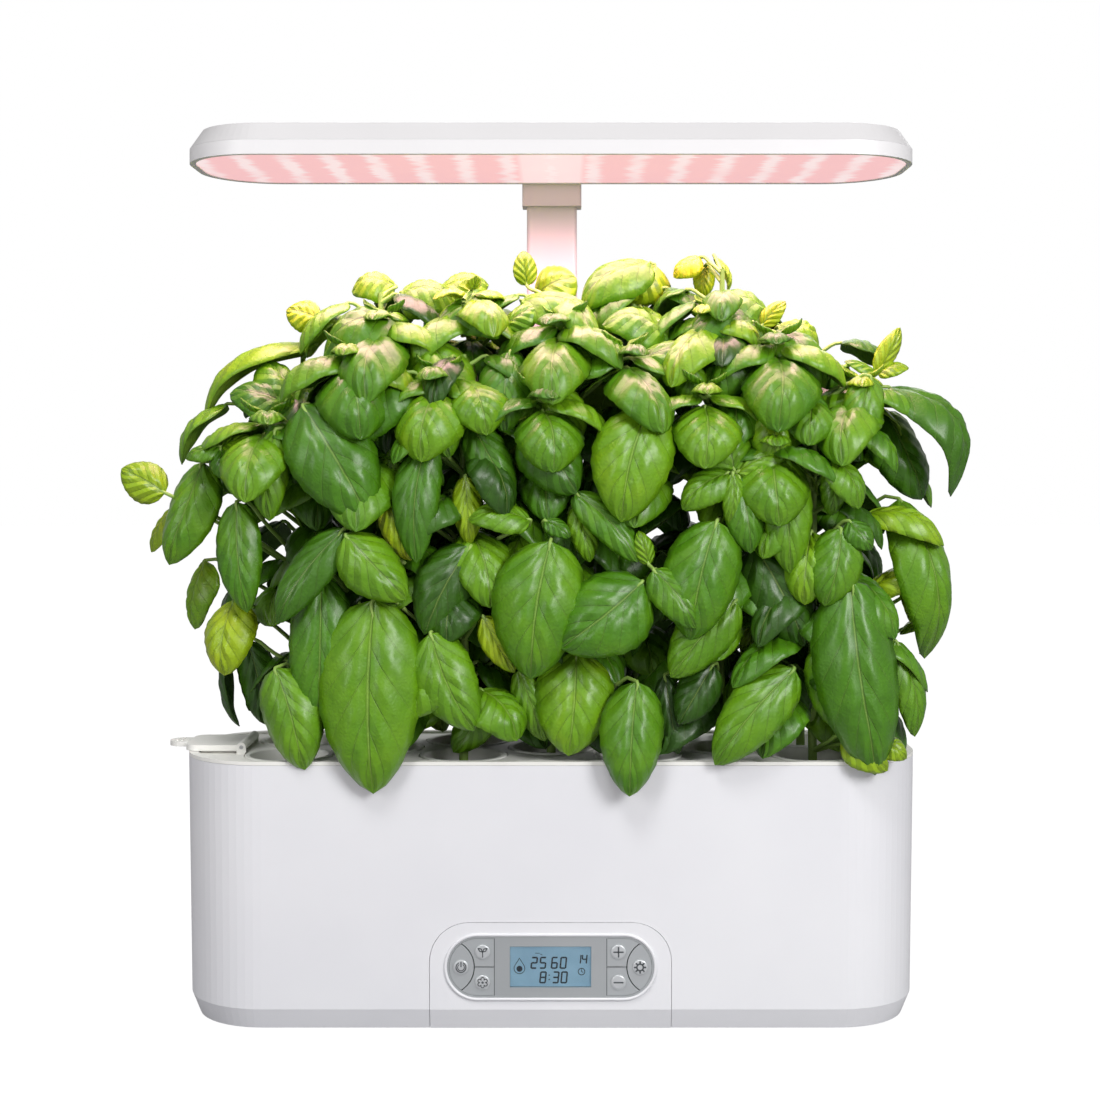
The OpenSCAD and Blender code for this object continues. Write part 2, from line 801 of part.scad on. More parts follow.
module led_board() {
    color("white") difference() {
        translate([0, lamp_y, led_board_z]) linear_extrude(led_board_t)
            plate(lamp_w - 2 * board_in, lamp_d - 2 * board_in, lamp_r - board_in);
        stand_places() translate([0, 0, led_board_z - 1])
            cylinder(r = screw_r + pin_gap, h = led_board_t + 2);
    }
}

module led_chips() {
    color("lemonchiffon") for (i = [0 : led_columns - 1], j = [0 : led_rows - 1])
        translate([(i - (led_columns - 1) / 2) * led_pitch_x - chip / 2,
            lamp_y + (j - (led_rows - 1) / 2) * led_pitch_y - chip / 2, led_board_z - chip_h])
            cube([chip, chip, chip_h]);
}

module lamp_screws() {
    color("silver") stand_places() {
        translate([0, 0, led_board_z]) cylinder(r = screw_r, h = led_board_t + 3.6);
        translate([0, 0, led_board_z - 1]) cylinder(r = screw_r * 1.9, h = 1);
    }
}

// ---------- upper post and its collar ----------
post_wall = 1.6;
post_foot = 62;
collar_w = 33;
collar_drop = 12;

module mast_post() {
    top = head_z - 1.6;
    color("white") translate([0, sleeve_y, post_foot]) difference() {
        linear_extrude(top - post_foot) plate(post_w, post_d, post_r);
        translate([0, 0, -1]) linear_extrude(top)
            plate(post_w - 2 * post_wall, post_d - 2 * post_wall, post_r - 1);
    }
}

module lamp_collar() {
    front = lamp_y + lamp_d / 2;
    back = sleeve_y + sleeve_d / 2;
    low = lamp_z - collar_drop;
    color("white") difference() {
        translate([0, (front + back) / 2, low]) linear_extrude(head_z - low)
            plate(collar_w, back - front, 1.8);
        translate([0, sleeve_y, low - 1]) linear_extrude(head_z - 1.5 - low + 1)
            plate(post_w + 0.2, post_d + 0.2, post_r + 0.1);
    }
}

// ---------- plants ----------
// One row for each leaf: foot [x, y, z] and tip [x, y, z] of the blade, measured from the
// centre of the plant's cup on the deck, its width, the direction that its upper face looks
// in (angle from +X towards +Y, angle up from level), and how far it arches that way.
leaves_1 = [
    [-43, -32, 83, -43, -41, -13, 53, -90, 8, 6], [-29, -13, 197, -56, -23, 162, 36, -105, 35, 8],
    [-33, 0, 198, -61, -2, 197, 22, -90, 60, 9], [-17, -25, 162, -22, -33, 101, 24, -90, 15, 5],
    [-57, -33, 115, -26, -41, 84, 30, -90, 30, 6], [-38, -23, 131, -25, -27, 102, 17, -90, 20, 3],
    [5, -23, 109, -18, -30, 65, 31, -80, 12, 4], [-15, -30, 66, 7, -37, 18, 31, -90, 12, 5],
    [14, -5, 29, -5, -10, 3, 20, -90, 15, 3], [35, -25, 122, 4, -29, 124, 22, -90, 45, 5],
    [2, -20, 144, 4, -25, 110, 16, -90, 20, 4], [4, -17, 172, 26, -27, 132, 22, -90, 20, 4],
    [-14, -15, 183, -6, -23, 154, 23, -90, 35, 4], [-19, 0, 215, 1, -17, 174, 34, -90, 45, 8],
    [-28, -5, 198, -32, -13, 170, 23, -95, 35, 5]];
leaves_2 = [
    [20, 10, 201, 6, 7, 191, 16, -90, 50, 3], [28, -10, 195, 21, -20, 157, 21, -90, 35, 5],
    [40, 5, 190, 84, 0, 136, 40, -40, 40, 20], [-18, -23, 156, -15, -33, 96, 27, -90, 15, 5],
    [-32, -17, 109, -7, -25, 59, 34, -90, 12, 5], [10, -30, 118, 1, -37, 80, 26, -90, 20, 5],
    [27, -5, 125, 66, -13, 111, 24, -60, 50, 8], [26, -5, 85, 63, -9, 95, 20, -70, 50, 5],
    [14, -33, 93, 27, -41, -4, 43, -88, 8, 6], [3, -23, 61, 9, -27, 17, 26, -90, 10, 4],
    [39, -20, 61, 50, -23, 13, 22, -60, 15, 4], [12, -27, 14, 33, -35, -1, 20, -90, 35, 4],
    [-12, -10, 47, -17, -13, 7, 24, -90, 10, 3]];
leaves_3 = [
    [-48, -50, 48, -33, -58, -2, 31, -95, 12, 5], [-25, -48, 94, -26, -53, 18, 33, -90, 10, 6],
    [-49, -42, 168, -52, -50, 122, 22, -95, 20, 4], [-35, -45, 180, 0, -60, 124, 44, -90, 25, 8],
    [-13, -52, 118, -47, -60, 72, 24, -100, 20, 4], [15, -15, 221, -28, -25, 211, 46, -90, 55, 14],
    [7, 10, 245, -17, 10, 245, 26, -90, 55, 7], [-33, 5, 227, -51, 5, 232, 20, -110, 30, 3]];
leaves_4 = [
    [0, -56, 112, -10, -64, 44, 46, -90, 12, 8], [46, -58, 92, 5, -66, 60, 42, -90, 20, 7],
    [13, -45, 56, 9, -56, 5, 40, -90, 10, 5], [-16, -40, 46, -3, -44, 10, 18, -95, 10, 3],
    [43, -56, 42, 39, -68, -13, 32, -90, 8, 5], [12, -48, 136, 44, -56, 102, 20, -85, 25, 4],
    [-21, -28, 208, -23, -42, 166, 28, -90, 35, 7], [-12, -30, 203, 15, -36, 199, 26, -90, 50, 6],
    [-3, -15, 219, 35, -28, 196, 30, -85, 55, 9], [-10, -38, 185, -4, -42, 163, 16, -90, 25, 3],
    [3, -38, 190, 12, -45, 159, 24, -85, 25, 5], [-13, -45, 166, 13, -54, 136, 31, -90, 20, 5],
    [-9, 20, 246, 13, 20, 254, 34, 90, 50, 6], [-16, -5, 236, 27, -10, 222, 32, -90, 60, 11],
    [-24, -15, 222, -6, -15, 233, 18, -90, 40, 3]];
leaves_5 = [
    [-7, -55, 122, -21, -62, 63, 38, -90, 20, 8], [3, -50, 82, -30, -56, 44, 28, -85, 15, 4],
    [-8, -44, 49, -26, -50, 20, 22, -95, 12, 3], [-39, -60, 98, -18, -66, 70, 22, -90, 30, 4],
    [-19, -30, 204, -19, -34, 180, 18, -90, 25, 4], [10, -22, 211, -10, -30, 183, 32, -90, 45, 7],
    [32, -25, 205, 16, -35, 180, 29, -90, 45, 6], [-10, 15, 261, -25, 15, 251, 18, -90, 55, 3],
    [16, -12, 224, -18, -20, 219, 30, -90, 50, 9], [25, -18, 219, 53, -28, 192, 32, -75, 50, 9],
    [21, -40, 179, 22, -50, 151, 26, -90, 35, 5], [2, -50, 147, -7, -44, 169, 30, -90, 30, 5],
    [3, -50, 146, 30, -48, 157, 16, -90, 40, 3], [-1, -52, 146, -25, -56, 129, 22, -95, 40, 4],
    [4, -53, 144, 10, -58, 106, 21, -85, 25, 4], [26, -52, 46, -9, -62, 2, 29, -95, 20, 6]];
leaves_6 = [
    [-28, -50, 80, -33, -60, 43, 30, -110, 20, 5], [-43, 6, 54, -39, 6, 6, 20, 180, 15, 5],
    [-30, -1, 54, -21, -1, 8, 22, -90, 10, 2], [-48, -25, 99, -55, -28, 63, 26, -140, 20, 4],
    [-25, -60, 131, -19, -67, 75, 24, -95, 15, 4], [-45, -45, 151, -63, -53, 99, 31, -110, 20, 5],
    [-64, -25, 128, -77, -28, 104, 21, -150, 20, 3], [-64, -47, 135, -86, -50, 148, 22, -90, 20, 3],
    [-38, -15, 182, -64, -17, 151, 26, 180, 50, 8], [9, -10, 214, -55, -12, 178, 28, 180, 65, 14],
    [-1, -30, 180, -33, -33, 189, 30, -110, 45, 6], [2, -30, 180, -17, -20, 206, 31, -60, 40, 5]];
leaves_7 = [
    [21, -35, 225, -15, -43, 225, 34, -90, 60, 10], [-15, -10, 243, 11, -10, 248, 28, -90, 55, 5],
    [-35, -20, 241, -6, -20, 236, 34, -90, 55, 8]];
leaves_8 = [
    [5, -73, 179, -10, -85, 122, 41, -90, 18, 9], [-5, -47, 198, 32, -53, 211, 26, -90, 50, 5],
    [15, -30, 217, -17, -37, 226, 34, -90, 60, 8], [8, -10, 258, -30, -20, 236, 34, -95, 55, 7],
    [11, 0, 258, -3, 0, 238, 30, 90, 40, 3]];
leaves_9 = [
    [-18, -20, 226, -52, -25, 236, 38, -90, 60, 10], [-16, -30, 222, 7, -30, 212, 30, -50, 50, 8],
    [41, -30, 178, 61, -35, 132, 34, -70, 25, 5], [46, -40, 132, 59, -50, 50, 34, -20, 30, 26],
    [54, -35, 95, 56, -37, 65, 17, -60, 15, 3]];
leaf_rows = [leaves_1, leaves_2, leaves_3, leaves_4, leaves_5, leaves_6, leaves_7, leaves_8,
    leaves_9];

// The backs of the four rear plants: pairs of leaves up the stem, each lower pair longer
rear_pairs = 4;
rear_low = 38;
rear_step = 46;
rear_rows = [for (i = [0 : rear_pairs - 1], s = [-1, 1])
    let (z = rear_low + i * rear_step + s * 6, out = 38 - 5 * i, turn = s * (i % 2 == 0 ? 1 : 0.6))
    [turn * 8, 8, z, turn * out, 21 - i * 2, z - 24 + i * 3, 30 - 3 * i, 90 - s * 25, 35, 5]];

deck_back = base_d / 2 - 2;        // the plants stay in front of the mast
plant_gap = 0.8;                   // between the leaves of two plants
swing_room = 4;                    // round the swing of the filler flap
table_h = 262;                     // height of the plants that the tables describe
leaf_scale = plant_h / table_h;
blade_at = [0.22, 0.58, 0.86];
blade_w = [0.9, 1, 0.55];
droop = 0.16;
twig_rise = 0.55;

function plant_rows(k) = k > 5 ? concat(leaf_rows[k - 1], rear_rows) : leaf_rows[k - 1];
function foot_of(row) = leaf_scale * [row[0], row[1], row[2]];
function tip_of(row) = leaf_scale * [row[3], row[4], row[5]];
function dir(az, el) = [cos(el) * cos(az), cos(el) * sin(az), sin(el)];
function unit(v) = v / norm(v);

// Four points round p: side, face, other side, back
function diamond(p, side, face, half, thick) =
    [p + side * half, p + face * thick, p - side * half, p - face * thick];

// The stem point that the stalk of a leaf starts from
function twig_from(foot) = [0, 0, max(2, foot[2] - twig_rise * norm([foot[0], foot[1]]))];

module stalk(foot, r) {
    run = foot - twig_from(foot);
    translate(twig_from(foot)) rotate([0, acos(run[2] / norm(run)), atan2(run[1], run[0])])
        cylinder(r = r, h = norm(run) + stalk_r, $fn = 3);
}

// A closed blade from its foot to its tip, arched along and folded up a little at the sides
module blade(row, grow) {
    foot = foot_of(row);
    tip = tip_of(row);
    width = leaf_scale * row[6];
    along = unit(tip - foot);
    look = dir(row[7], row[8]);
    face = unit(look - along * (look * along));
    side = cross(face, along);
    thin = stalk_r + grow;
    thick = leaf_t / 2 + grow;
    rings = concat(
        [diamond(foot - along * grow, side, face, thin, thin)],
        [for (i = [0 : len(blade_at) - 1])
            let (u = blade_at[i], half = width / 2 * blade_w[i] + 2 * grow)
            let (p = foot + (tip - foot) * u + face * leaf_scale * row[9] * 4 * u * (1 - u))
            let (low = face * (droop * width * blade_w[i]))
            [p + side * half - low, p + face * thick, p - side * half - low, p - face * thick]]);
    last = len(rings) - 1;
    end = tip + along * grow * 2;
    points = concat([for (r = rings) each r], [end]);
    polyhedron(points, concat(
        [[0, 1, 2], [0, 2, 3]],
        [for (i = [0 : last - 1], j = [0 : 3]) each [
            [4 * i + j, 4 * i + 4 + j, 4 * i + (j + 1) % 4],
            [4 * i + (j + 1) % 4, 4 * i + 4 + j, 4 * i + 4 + (j + 1) % 4]]],
        [for (j = [0 : 3]) [4 * last + j, len(points) - 1, 4 * last + (j + 1) % 4]]));
}

module plant(k, grow) {
    hole = holes[planted[k - 1]];
    rows = plant_rows(k);
    height = max([for (r = rows) twig_from(foot_of(r))[2]]);
    translate([hole[0], hole[1], deck_top]) {
        for (r = rows) {
            blade(r, grow);
            stalk(foot_of(r), stalk_r + grow);
        }
        translate([0, 0, -plug_top]) cylinder(r1 = stem_r + grow, r2 = stem_r * 0.6 + grow,
            h = plug_top + height + 2, $fn = 6);
    }
}

// A plant is one mesh: it gives way to the plants before it, the mast and the flap's swing
module basil(k) {
    swing = flap_l + tab_l + swing_room;
    color("forestgreen") resize([0, 0, 0]) difference() {
        plant(k, 0);
        for (j = [1 : 1 : k - 1]) plant(j, plant_gap);
        translate([-base_w, deck_back, 0]) cube([2 * base_w, base_d, lamp_z]);
        translate([flap_hinge_x - swing, flap_y - flap_w / 2 - swing_room, rim_z])
            cube([swing + swing_room, flap_w + 2 * swing_room, flap_l + tab_l]);
    }
}

module basil_1() { basil(1); }
module basil_2() { basil(2); }
module basil_3() { basil(3); }
module basil_4() { basil(4); }
module basil_5() { basil(5); }
module basil_6() { basil(6); }
module basil_7() { basil(7); }
module basil_8() { basil(8); }
module basil_9() { basil(9); }

tank_body();
rubber_feet();
mast_sleeve();
sleeve_cap();
dc_inlet();
control_cover();
control_bezel();
lcd_module();
lcd_lens();
circuit_board();
board_screws();
power_button();
seedling_button();
bloom_button();
plus_button();
minus_button();
light_button();
pump_body();
pump_filter();
pump_impeller();
return_tube();
float_stem();
level_float();
grow_deck();
flap_pin();
fill_flap();
grow_plugs();
net_cup_1();
net_cup_2();
net_cup_3();
net_cup_4();
net_cup_5();
net_cup_6();
net_cup_7();
net_cup_8();
net_cup_9();
net_cup_10();
net_cup_11();
basil_1();
basil_2();
basil_3();
basil_4();
basil_5();
basil_6();
basil_7();
basil_8();
basil_9();
mast_post();
lamp_collar();
lamp_frame();
lamp_top_shell();
lamp_diffuser();
led_board();
led_chips();
lamp_screws();
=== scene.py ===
import math
import random

import bpy
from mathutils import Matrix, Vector


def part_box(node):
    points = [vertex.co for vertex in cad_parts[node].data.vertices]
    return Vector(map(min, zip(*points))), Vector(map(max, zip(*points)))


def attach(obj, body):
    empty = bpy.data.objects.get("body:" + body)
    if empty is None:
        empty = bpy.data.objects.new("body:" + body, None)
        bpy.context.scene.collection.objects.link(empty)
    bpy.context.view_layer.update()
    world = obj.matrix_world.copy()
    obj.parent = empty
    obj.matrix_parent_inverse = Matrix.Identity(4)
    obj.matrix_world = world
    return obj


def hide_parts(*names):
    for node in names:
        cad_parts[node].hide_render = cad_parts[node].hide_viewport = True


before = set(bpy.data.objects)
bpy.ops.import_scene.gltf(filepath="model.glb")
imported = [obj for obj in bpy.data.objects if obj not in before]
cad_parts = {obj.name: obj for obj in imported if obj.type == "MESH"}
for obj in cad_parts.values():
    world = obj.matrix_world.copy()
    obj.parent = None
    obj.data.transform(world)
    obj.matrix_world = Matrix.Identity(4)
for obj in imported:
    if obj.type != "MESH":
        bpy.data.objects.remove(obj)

MM = 0.001
HALF_PI = math.pi / 2
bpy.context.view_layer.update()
rng = random.Random(11)


# ---------- camera, level with the upper third of the plants ----------
camera = bpy.data.objects.new("camera", bpy.data.cameras.new("camera"))
bpy.context.scene.collection.objects.link(camera)
camera.location = (6.25 * MM, -952 * MM, 291.3 * MM)
camera.rotation_euler = (HALF_PI, 0, 0)
camera.data.lens = 58.1
camera.data.sensor_width = 36
camera.data.clip_start = 0.01
camera.data.shift_x = -0.0117
camera.data.shift_y = -0.0955
bpy.context.scene.camera = camera
bpy.context.scene.view_settings.view_transform = "Standard"


# ---------- finishes ----------
def hex_colour(code, alpha=1.0):
    def linear(c):
        return c / 12.92 if c <= 0.04045 else ((c + 0.055) / 1.055) ** 2.4
    return tuple(linear(int(code[i:i + 2], 16) / 255) for i in (1, 3, 5)) + (alpha,)


def add_node(tree, kind, values=None, links=None, **settings):
    made = tree.nodes.new(kind)
    for name, value in settings.items():
        setattr(made, name, value)
    for socket, value in (values or {}).items():
        made.inputs[socket].default_value = value
    for socket, source in (links or {}).items():
        tree.links.new(source, made.inputs[socket])
    return made


def new_finish(name, **sockets):
    """A material with one Principled shader; sockets are its uniform values."""
    finish = bpy.data.materials.new(name)
    finish.use_nodes = True
    tree = finish.node_tree
    tree.nodes.clear()
    shader = add_node(tree, "ShaderNodeBsdfPrincipled")
    add_node(tree, "ShaderNodeOutputMaterial", links={"Surface": shader.outputs[0]})
    for socket, value in sockets.items():
        shader.inputs[socket.replace("_", " ")].default_value = value
    return finish, tree, shader


def dress(piece, *finishes):
    piece.data.materials.clear()
    for finish in finishes:
        piece.data.materials.append(finish)


def place_of(tree, scale=(1, 1, 1)):
    """Object coordinates, scaled."""
    where = add_node(tree, "ShaderNodeTexCoord")
    return add_node(tree, "ShaderNodeMapping", {"Scale": scale},
                    {"Vector": where.outputs["Object"]}).outputs[0]


def noise_of(tree, where, scale, detail):
    return add_node(tree, "ShaderNodeTexNoise", {"Scale": scale, "Detail": detail},
                    {"Vector": where}).outputs[0]


def ramp_of(tree, fac, steps):
    """Colour ramp; its steps are pairs of a place and a hex colour."""
    ramp = add_node(tree, "ShaderNodeValToRGB", links={"Fac": fac})
    elements = ramp.color_ramp.elements
    while len(elements) < len(steps):
        elements.new(0.5)
    for element, (place, code) in zip(elements, steps):
        element.position = place
        element.color = hex_colour(code)
    return ramp.outputs[0]


def fading(tree, value, full, none, high=1.0, kind="SMOOTHSTEP"):
    """From high, while the value is at most full, down to 0, once it is at least none."""
    return add_node(tree, "ShaderNodeMapRange", {"From Min": full, "From Max": none,
                    "To Min": high, "To Max": 0.0}, {"Value": value},
                    interpolation_type=kind).outputs[0]


def maths_in(tree):
    """A function that adds Math nodes to the tree; each term is a number or a socket."""
    def maths(operation, *terms):
        made = add_node(tree, "ShaderNodeMath", operation=operation)
        for i, term in enumerate(terms):
            if isinstance(term, (int, float)):
                made.inputs[i].default_value = term
            else:
                tree.links.new(term, made.inputs[i])
        return made.outputs[0]
    return maths


def mottled(tree, where, dark, light, scale):
    """Colour that drifts between two near tones."""
    return ramp_of(tree, noise_of(tree, where, scale, 3.0), ((0.35, dark), (0.65, light)))


def grain(tree, shader, where, scale, depth, strength):
    """Fine relief from noise: scale in cycles per metre, depth in metres."""
    noise = noise_of(tree, where, scale, 2.0)
    bump = add_node(tree, "ShaderNodeBump", {"Strength": strength, "Distance": depth},
                    {"Height": noise})
    tree.links.new(bump.outputs[0], shader.inputs["Normal"])
    return noise


def rough_between(tree, shader, fac, low, high):
    ranged = add_node(tree, "ShaderNodeMapRange", {"To Min": low, "To Max": high},
                      {"Value": fac})
    tree.links.new(ranged.outputs[0], shader.inputs["Roughness"])


def moulded(name, dark, light, grit, rough, depth=0.00003, strength=0.25, **sockets):
    """Injection-moulded plastic: an even tone, a fine spark-eroded grain, a satin gloss."""
    finish, tree, shader = new_finish(name, **sockets)
    where = place_of(tree)
    tree.links.new(mottled(tree, where, dark, light, 9.0), shader.inputs["Base Color"])
    fine = grain(tree, shader, where, grit, depth, strength)
    rough_between(tree, shader, fine, rough - 0.05, rough + 0.05)
    return finish


# ABS, moulded in a tool with a fine spark finish: cool white, satin
white_abs = moulded("white_moulded_abs", "#E9E9ED", "#EEEEF1", 1500, 0.36, IOR=1.54)
# the same ABS on the deck, painted warmer and paler as the light of the lamp on it, with the same
# fine grain
deck_abs_painted_lamp_light = moulded("deck_abs_with_painted_lamp_light", "#F1F0EA", "#F6F5F0", 1500, 0.4, IOR=1.54)
# the ABS of the mast, with the pink light of the lamp over it painted into its colour
mast_abs_painted_lamp_light = moulded("mast_abs_with_painted_lamp_light", "#EBDFE1", "#EFE4E6", 1500, 0.38, IOR=1.54)
# the ABS of the lamp housing; its top, which is turned from the lens, is painted a little greyer as
# shade
lamp_abs = moulded("lamp_moulded_abs", "#E6E4E5", "#EAE8E9", 1500, 0.36, IOR=1.54)
lamp_top_abs_painted_shade = moulded("lamp_top_abs_with_painted_shade", "#CECCCD", "#D2D0D1", 1500, 0.36, IOR=1.54)
# polypropylene of the cups: slightly waxy and darker grey-white
cup_plastic = moulded("cup_polypropylene", "#E6E6E0", "#EFEFEA", 900, 0.45, IOR=1.49)
black_abs = moulded("black_moulded_abs", "#1B1C1E", "#26272A", 1200, 0.42, IOR=1.54)
pump_plastic = moulded("pump_grey_abs", "#4A4D50", "#5A5D60", 1200, 0.42, IOR=1.54)
# rubber feet: matt and a little dusty
foot_rubber = moulded("foot_rubber", "#3A3A3B", "#4B4B4C", 700, 0.8, depth=0.0001, IOR=1.52)
# closed-cell foam of the float: pale, matt and pitted
float_foam = moulded("float_closed_cell_foam", "#D9D4C4", "#ECE8DA", 420, 0.85,
                     depth=0.0004, strength=0.5, IOR=1.4)
# grow plugs of peat and coir: dark brown, rough and fibrous
plug_peat = moulded("grow_plug_peat", "#33251A", "#5E4630", 600, 0.95,
                    depth=0.0009, strength=0.9, IOR=1.4)
# glass-fibre board under green solder mask, glossy
board_mask = moulded("solder_mask", "#0F4A2A", "#176239", 250, 0.3, IOR=1.55)
# screws: zinc-plated steel
zinc_steel = moulded("zinc_plated_steel", "#B9BCC0", "#D3D5D8", 2500, 0.32, Metallic=1.0)
# silver-painted ABS of the panel and the keys: aluminium flake under a matt clear coat
panel_silver = moulded("silver_painted_panel", "#AFB3B5", "#BBBFC1", 2600, 0.44,
                       depth=0.00002, strength=0.2, Metallic=0.45)
key_silver = moulded("silver_painted_keys", "#B6BBBD", "#C2C6C8", 2600, 0.42,
                     depth=0.00002, strength=0.2, Metallic=0.45)
# the domes are painted lighter than the keys, as painted highlight on their raised crowns
dome_silver_painted_light = moulded("silver_key_domes_painted_light", "#C9CDCF", "#D6D9DB", 2600, 0.34,
                      depth=0.00002, strength=0.15, Metallic=0.45)
# printed symbols on the keys: dark grey pad-printing ink, also the painted shade in the key gaps
key_ink_and_gap_shade = moulded("key_printing_ink_and_gap_shade", "#43484B", "#54595C", 2200, 0.55, IOR=1.5)
# liquid-crystal figures: dark blue, slightly soft
lcd_ink = moulded("liquid_crystal_figures", "#0B1E2C", "#122A3A", 900, 0.5, IOR=1.5)
chip_phosphor = moulded("led_phosphor", "#F3D978", "#FBE9A2", 900, 0.4, IOR=1.5)
board_white = moulded("white_solder_mask", "#E9EAE8", "#F2F3F1", 400, 0.35, IOR=1.55)


def lit_display():
    """Backlit LCD: a blue-grey light, even but for a faint drift."""
    finish, tree, shader = new_finish("lcd_backlight", Roughness=0.28, IOR=1.5,
                                      Emission_Strength=0.32)
    where = place_of(tree)
    tone = mottled(tree, where, "#86A9BE", "#95B7CA", 60.0)
    tree.links.new(tone, shader.inputs["Base Color"])
    tree.links.new(tone, shader.inputs["Emission Color"])
    grain(tree, shader, where, 1800, 0.00001, 0.1)
    return finish


def lit_diffuser():
    """Opal acrylic over rows of LEDs: pink, with a paler soft band under each row of LEDs."""
    finish, tree, shader = new_finish("opal_acrylic_diffuser", Roughness=0.5, IOR=1.49,
                                      Emission_Strength=0.86)
    maths = maths_in(tree)
    where = place_of(tree)
    x = add_node(tree, "ShaderNodeSeparateXYZ", links={"Vector": where}).outputs["X"]
    # the rows are 22.7 mm apart; noise moves the edges of their bands by up to 7 mm
    half_pitch, sway = 0.01135, 0.007
    streaks = noise_of(tree, place_of(tree, (40, 190, 1)), 1.0, 4.0)
    shifted = maths("ADD", maths("MULTIPLY_ADD", streaks, 2 * sway, -sway), x)
    band = fading(tree, maths("PINGPONG", shifted, half_pitch), 0.0008, 0.0066)
    # painted reflection: the middle is painted brighter, over the mast
    middle = fading(tree, maths("ABSOLUTE", x), 0.015, 0.0185, 0.4, "LINEAR")
    lit = maths("MAXIMUM", maths("MULTIPLY", band, noise_of(tree, where, 22.0, 2.0)), middle)
    tree.links.new(ramp_of(tree, lit, ((0.0, "#FCC8CA"), (0.5, "#FFECEC"))),
                   shader.inputs["Emission Color"])
    tree.links.new(mottled(tree, where, "#7C5252", "#845959", 30.0), shader.inputs["Base Color"])
    grain(tree, shader, where, 600, 0.00002, 0.1)
    return finish


# Side veins of a leaf, the same in its finish and in its shape: how many leave each half of the
# midrib, how far one half is ahead, and how far and how bent they sweep towards the tip
VEINS, VEIN_STAGGER, VEIN_SWEEP, VEIN_BEND = 4.6, 0.4, 1.9, 0.8


def leaf_finish(name, light_side):
    """Basil leaf: a waxy, quilted blade with pale veins; the underside is paler and matt."""
    if light_side:
        specular, coat, relief, smooth, rough = 0.2, 0.75, 0.7, 0.36, 0.5
        steps = ((0.0, "#2A5008"), (0.3, "#4A800D"), (0.55, "#70A111"), (0.8, "#9DBB15"),
                 (1.0, "#CBCC1C"))
    else:
        specular, coat, relief, smooth, rough = 0.3, 0.0, 0.45, 0.5, 0.65
        steps = ((0.0, "#35551C"), (0.5, "#6C9430"), (1.0, "#BBC93A"))
    finish, tree, shader = new_finish(name, IOR=1.42, Specular_IOR_Level=specular,
                                      Coat_Weight=coat, Coat_Roughness=0.33)
    maths = maths_in(tree)
    uv = add_node(tree, "ShaderNodeTexCoord").outputs["UV"]
    split = add_node(tree, "ShaderNodeSeparateXYZ", links={"Vector": uv})
    across = maths("ABSOLUTE", maths("MULTIPLY_ADD", split.outputs["X"], 2.0, -1.0))
    half = maths("GREATER_THAN", split.outputs["X"], 0.5)
    ahead = maths("MULTIPLY_ADD", split.outputs["Y"], VEINS, maths("MULTIPLY", half, VEIN_STAGGER))
    swept = maths("MULTIPLY", maths("POWER", across, VEIN_BEND), VEIN_SWEEP)
    off_vein = maths("PINGPONG", maths("SUBTRACT", ahead, swept), 0.5)
    fade = maths("SUBTRACT", 1.0, maths("MULTIPLY", across, 0.75))
    vein = maths("MULTIPLY", fading(tree, off_vein, 0.0, 0.05), fade)
    rib = fading(tree, across, 0.01, 0.045)
    lines = maths("MAXIMUM", maths("MULTIPLY", vein, 0.45), rib)

    # fine net of small veins, its fields about 2 mm wide so that it shows
    where = place_of(tree)
    net = add_node(tree, "ShaderNodeTexVoronoi", {"Scale": 420.0}, {"Vector": where},
                   feature="DISTANCE_TO_EDGE").outputs["Distance"]
    drift = noise_of(tree, where, 60.0, 4.0)

    # the tone attribute runs from 0, dark with painted shade, to 1, young and pale with painted
    # light shining through
    tone = add_node(tree, "ShaderNodeAttribute", attribute_name="tone")
    shade = add_node(tree, "ShaderNodeSeparateColor", links={"Color": tone.outputs["Color"]})
    mixed = maths("ADD", shade.outputs[0], maths("MULTIPLY_ADD", drift, 0.36, -0.18))
    pale = add_node(tree, "ShaderNodeMix", {7: hex_colour("#A9C562")},
                    {0: maths("MULTIPLY", lines, 0.3), 6: ramp_of(tree, mixed, steps)},
                    data_type="RGBA")
    tree.links.new(pale.outputs[2], shader.inputs["Base Color"])

    # veins are sunk and the fields between them swell
    swell = maths("SUBTRACT", maths("MULTIPLY", off_vein, 1.3), maths("MULTIPLY", lines, 0.9))
    crinkle = noise_of(tree, where, 150.0, 2.0)
    height = maths("ADD", maths("ADD", swell, maths("MULTIPLY", net, 0.25)),
                   maths("MULTIPLY", crinkle, 0.6))
    bump = add_node(tree, "ShaderNodeBump", {"Strength": relief, "Distance": 0.002},
                    {"Height": height})
    tree.links.new(bump.outputs[0], shader.inputs["Normal"])
    rough_between(tree, shader, drift, smooth, rough)
    return finish


leaf_upper = leaf_finish("basil_leaf_upper_side", True)
leaf_under = leaf_finish("basil_leaf_underside", False)
# young stems: pale green, smooth and satin
stem_green = moulded("basil_stem", "#7FA347", "#A5C364", 160, 0.42, depth=0.0002, IOR=1.42)
display_light = lit_display()
diffuser_glow = lit_diffuser()


def window_glass():
    """Acrylic window over the display: clear, thin and glossy."""
    finish, tree, shader = new_finish("display_window_acrylic", Roughness=0.06, IOR=1.49,
                                      Transmission_Weight=1.0)
    shader.inputs["Base Color"].default_value = hex_colour("#F4FAFC")
    grain(tree, shader, place_of(tree), 900, 0.000004, 0.05)
    return finish


display_window = window_glass()

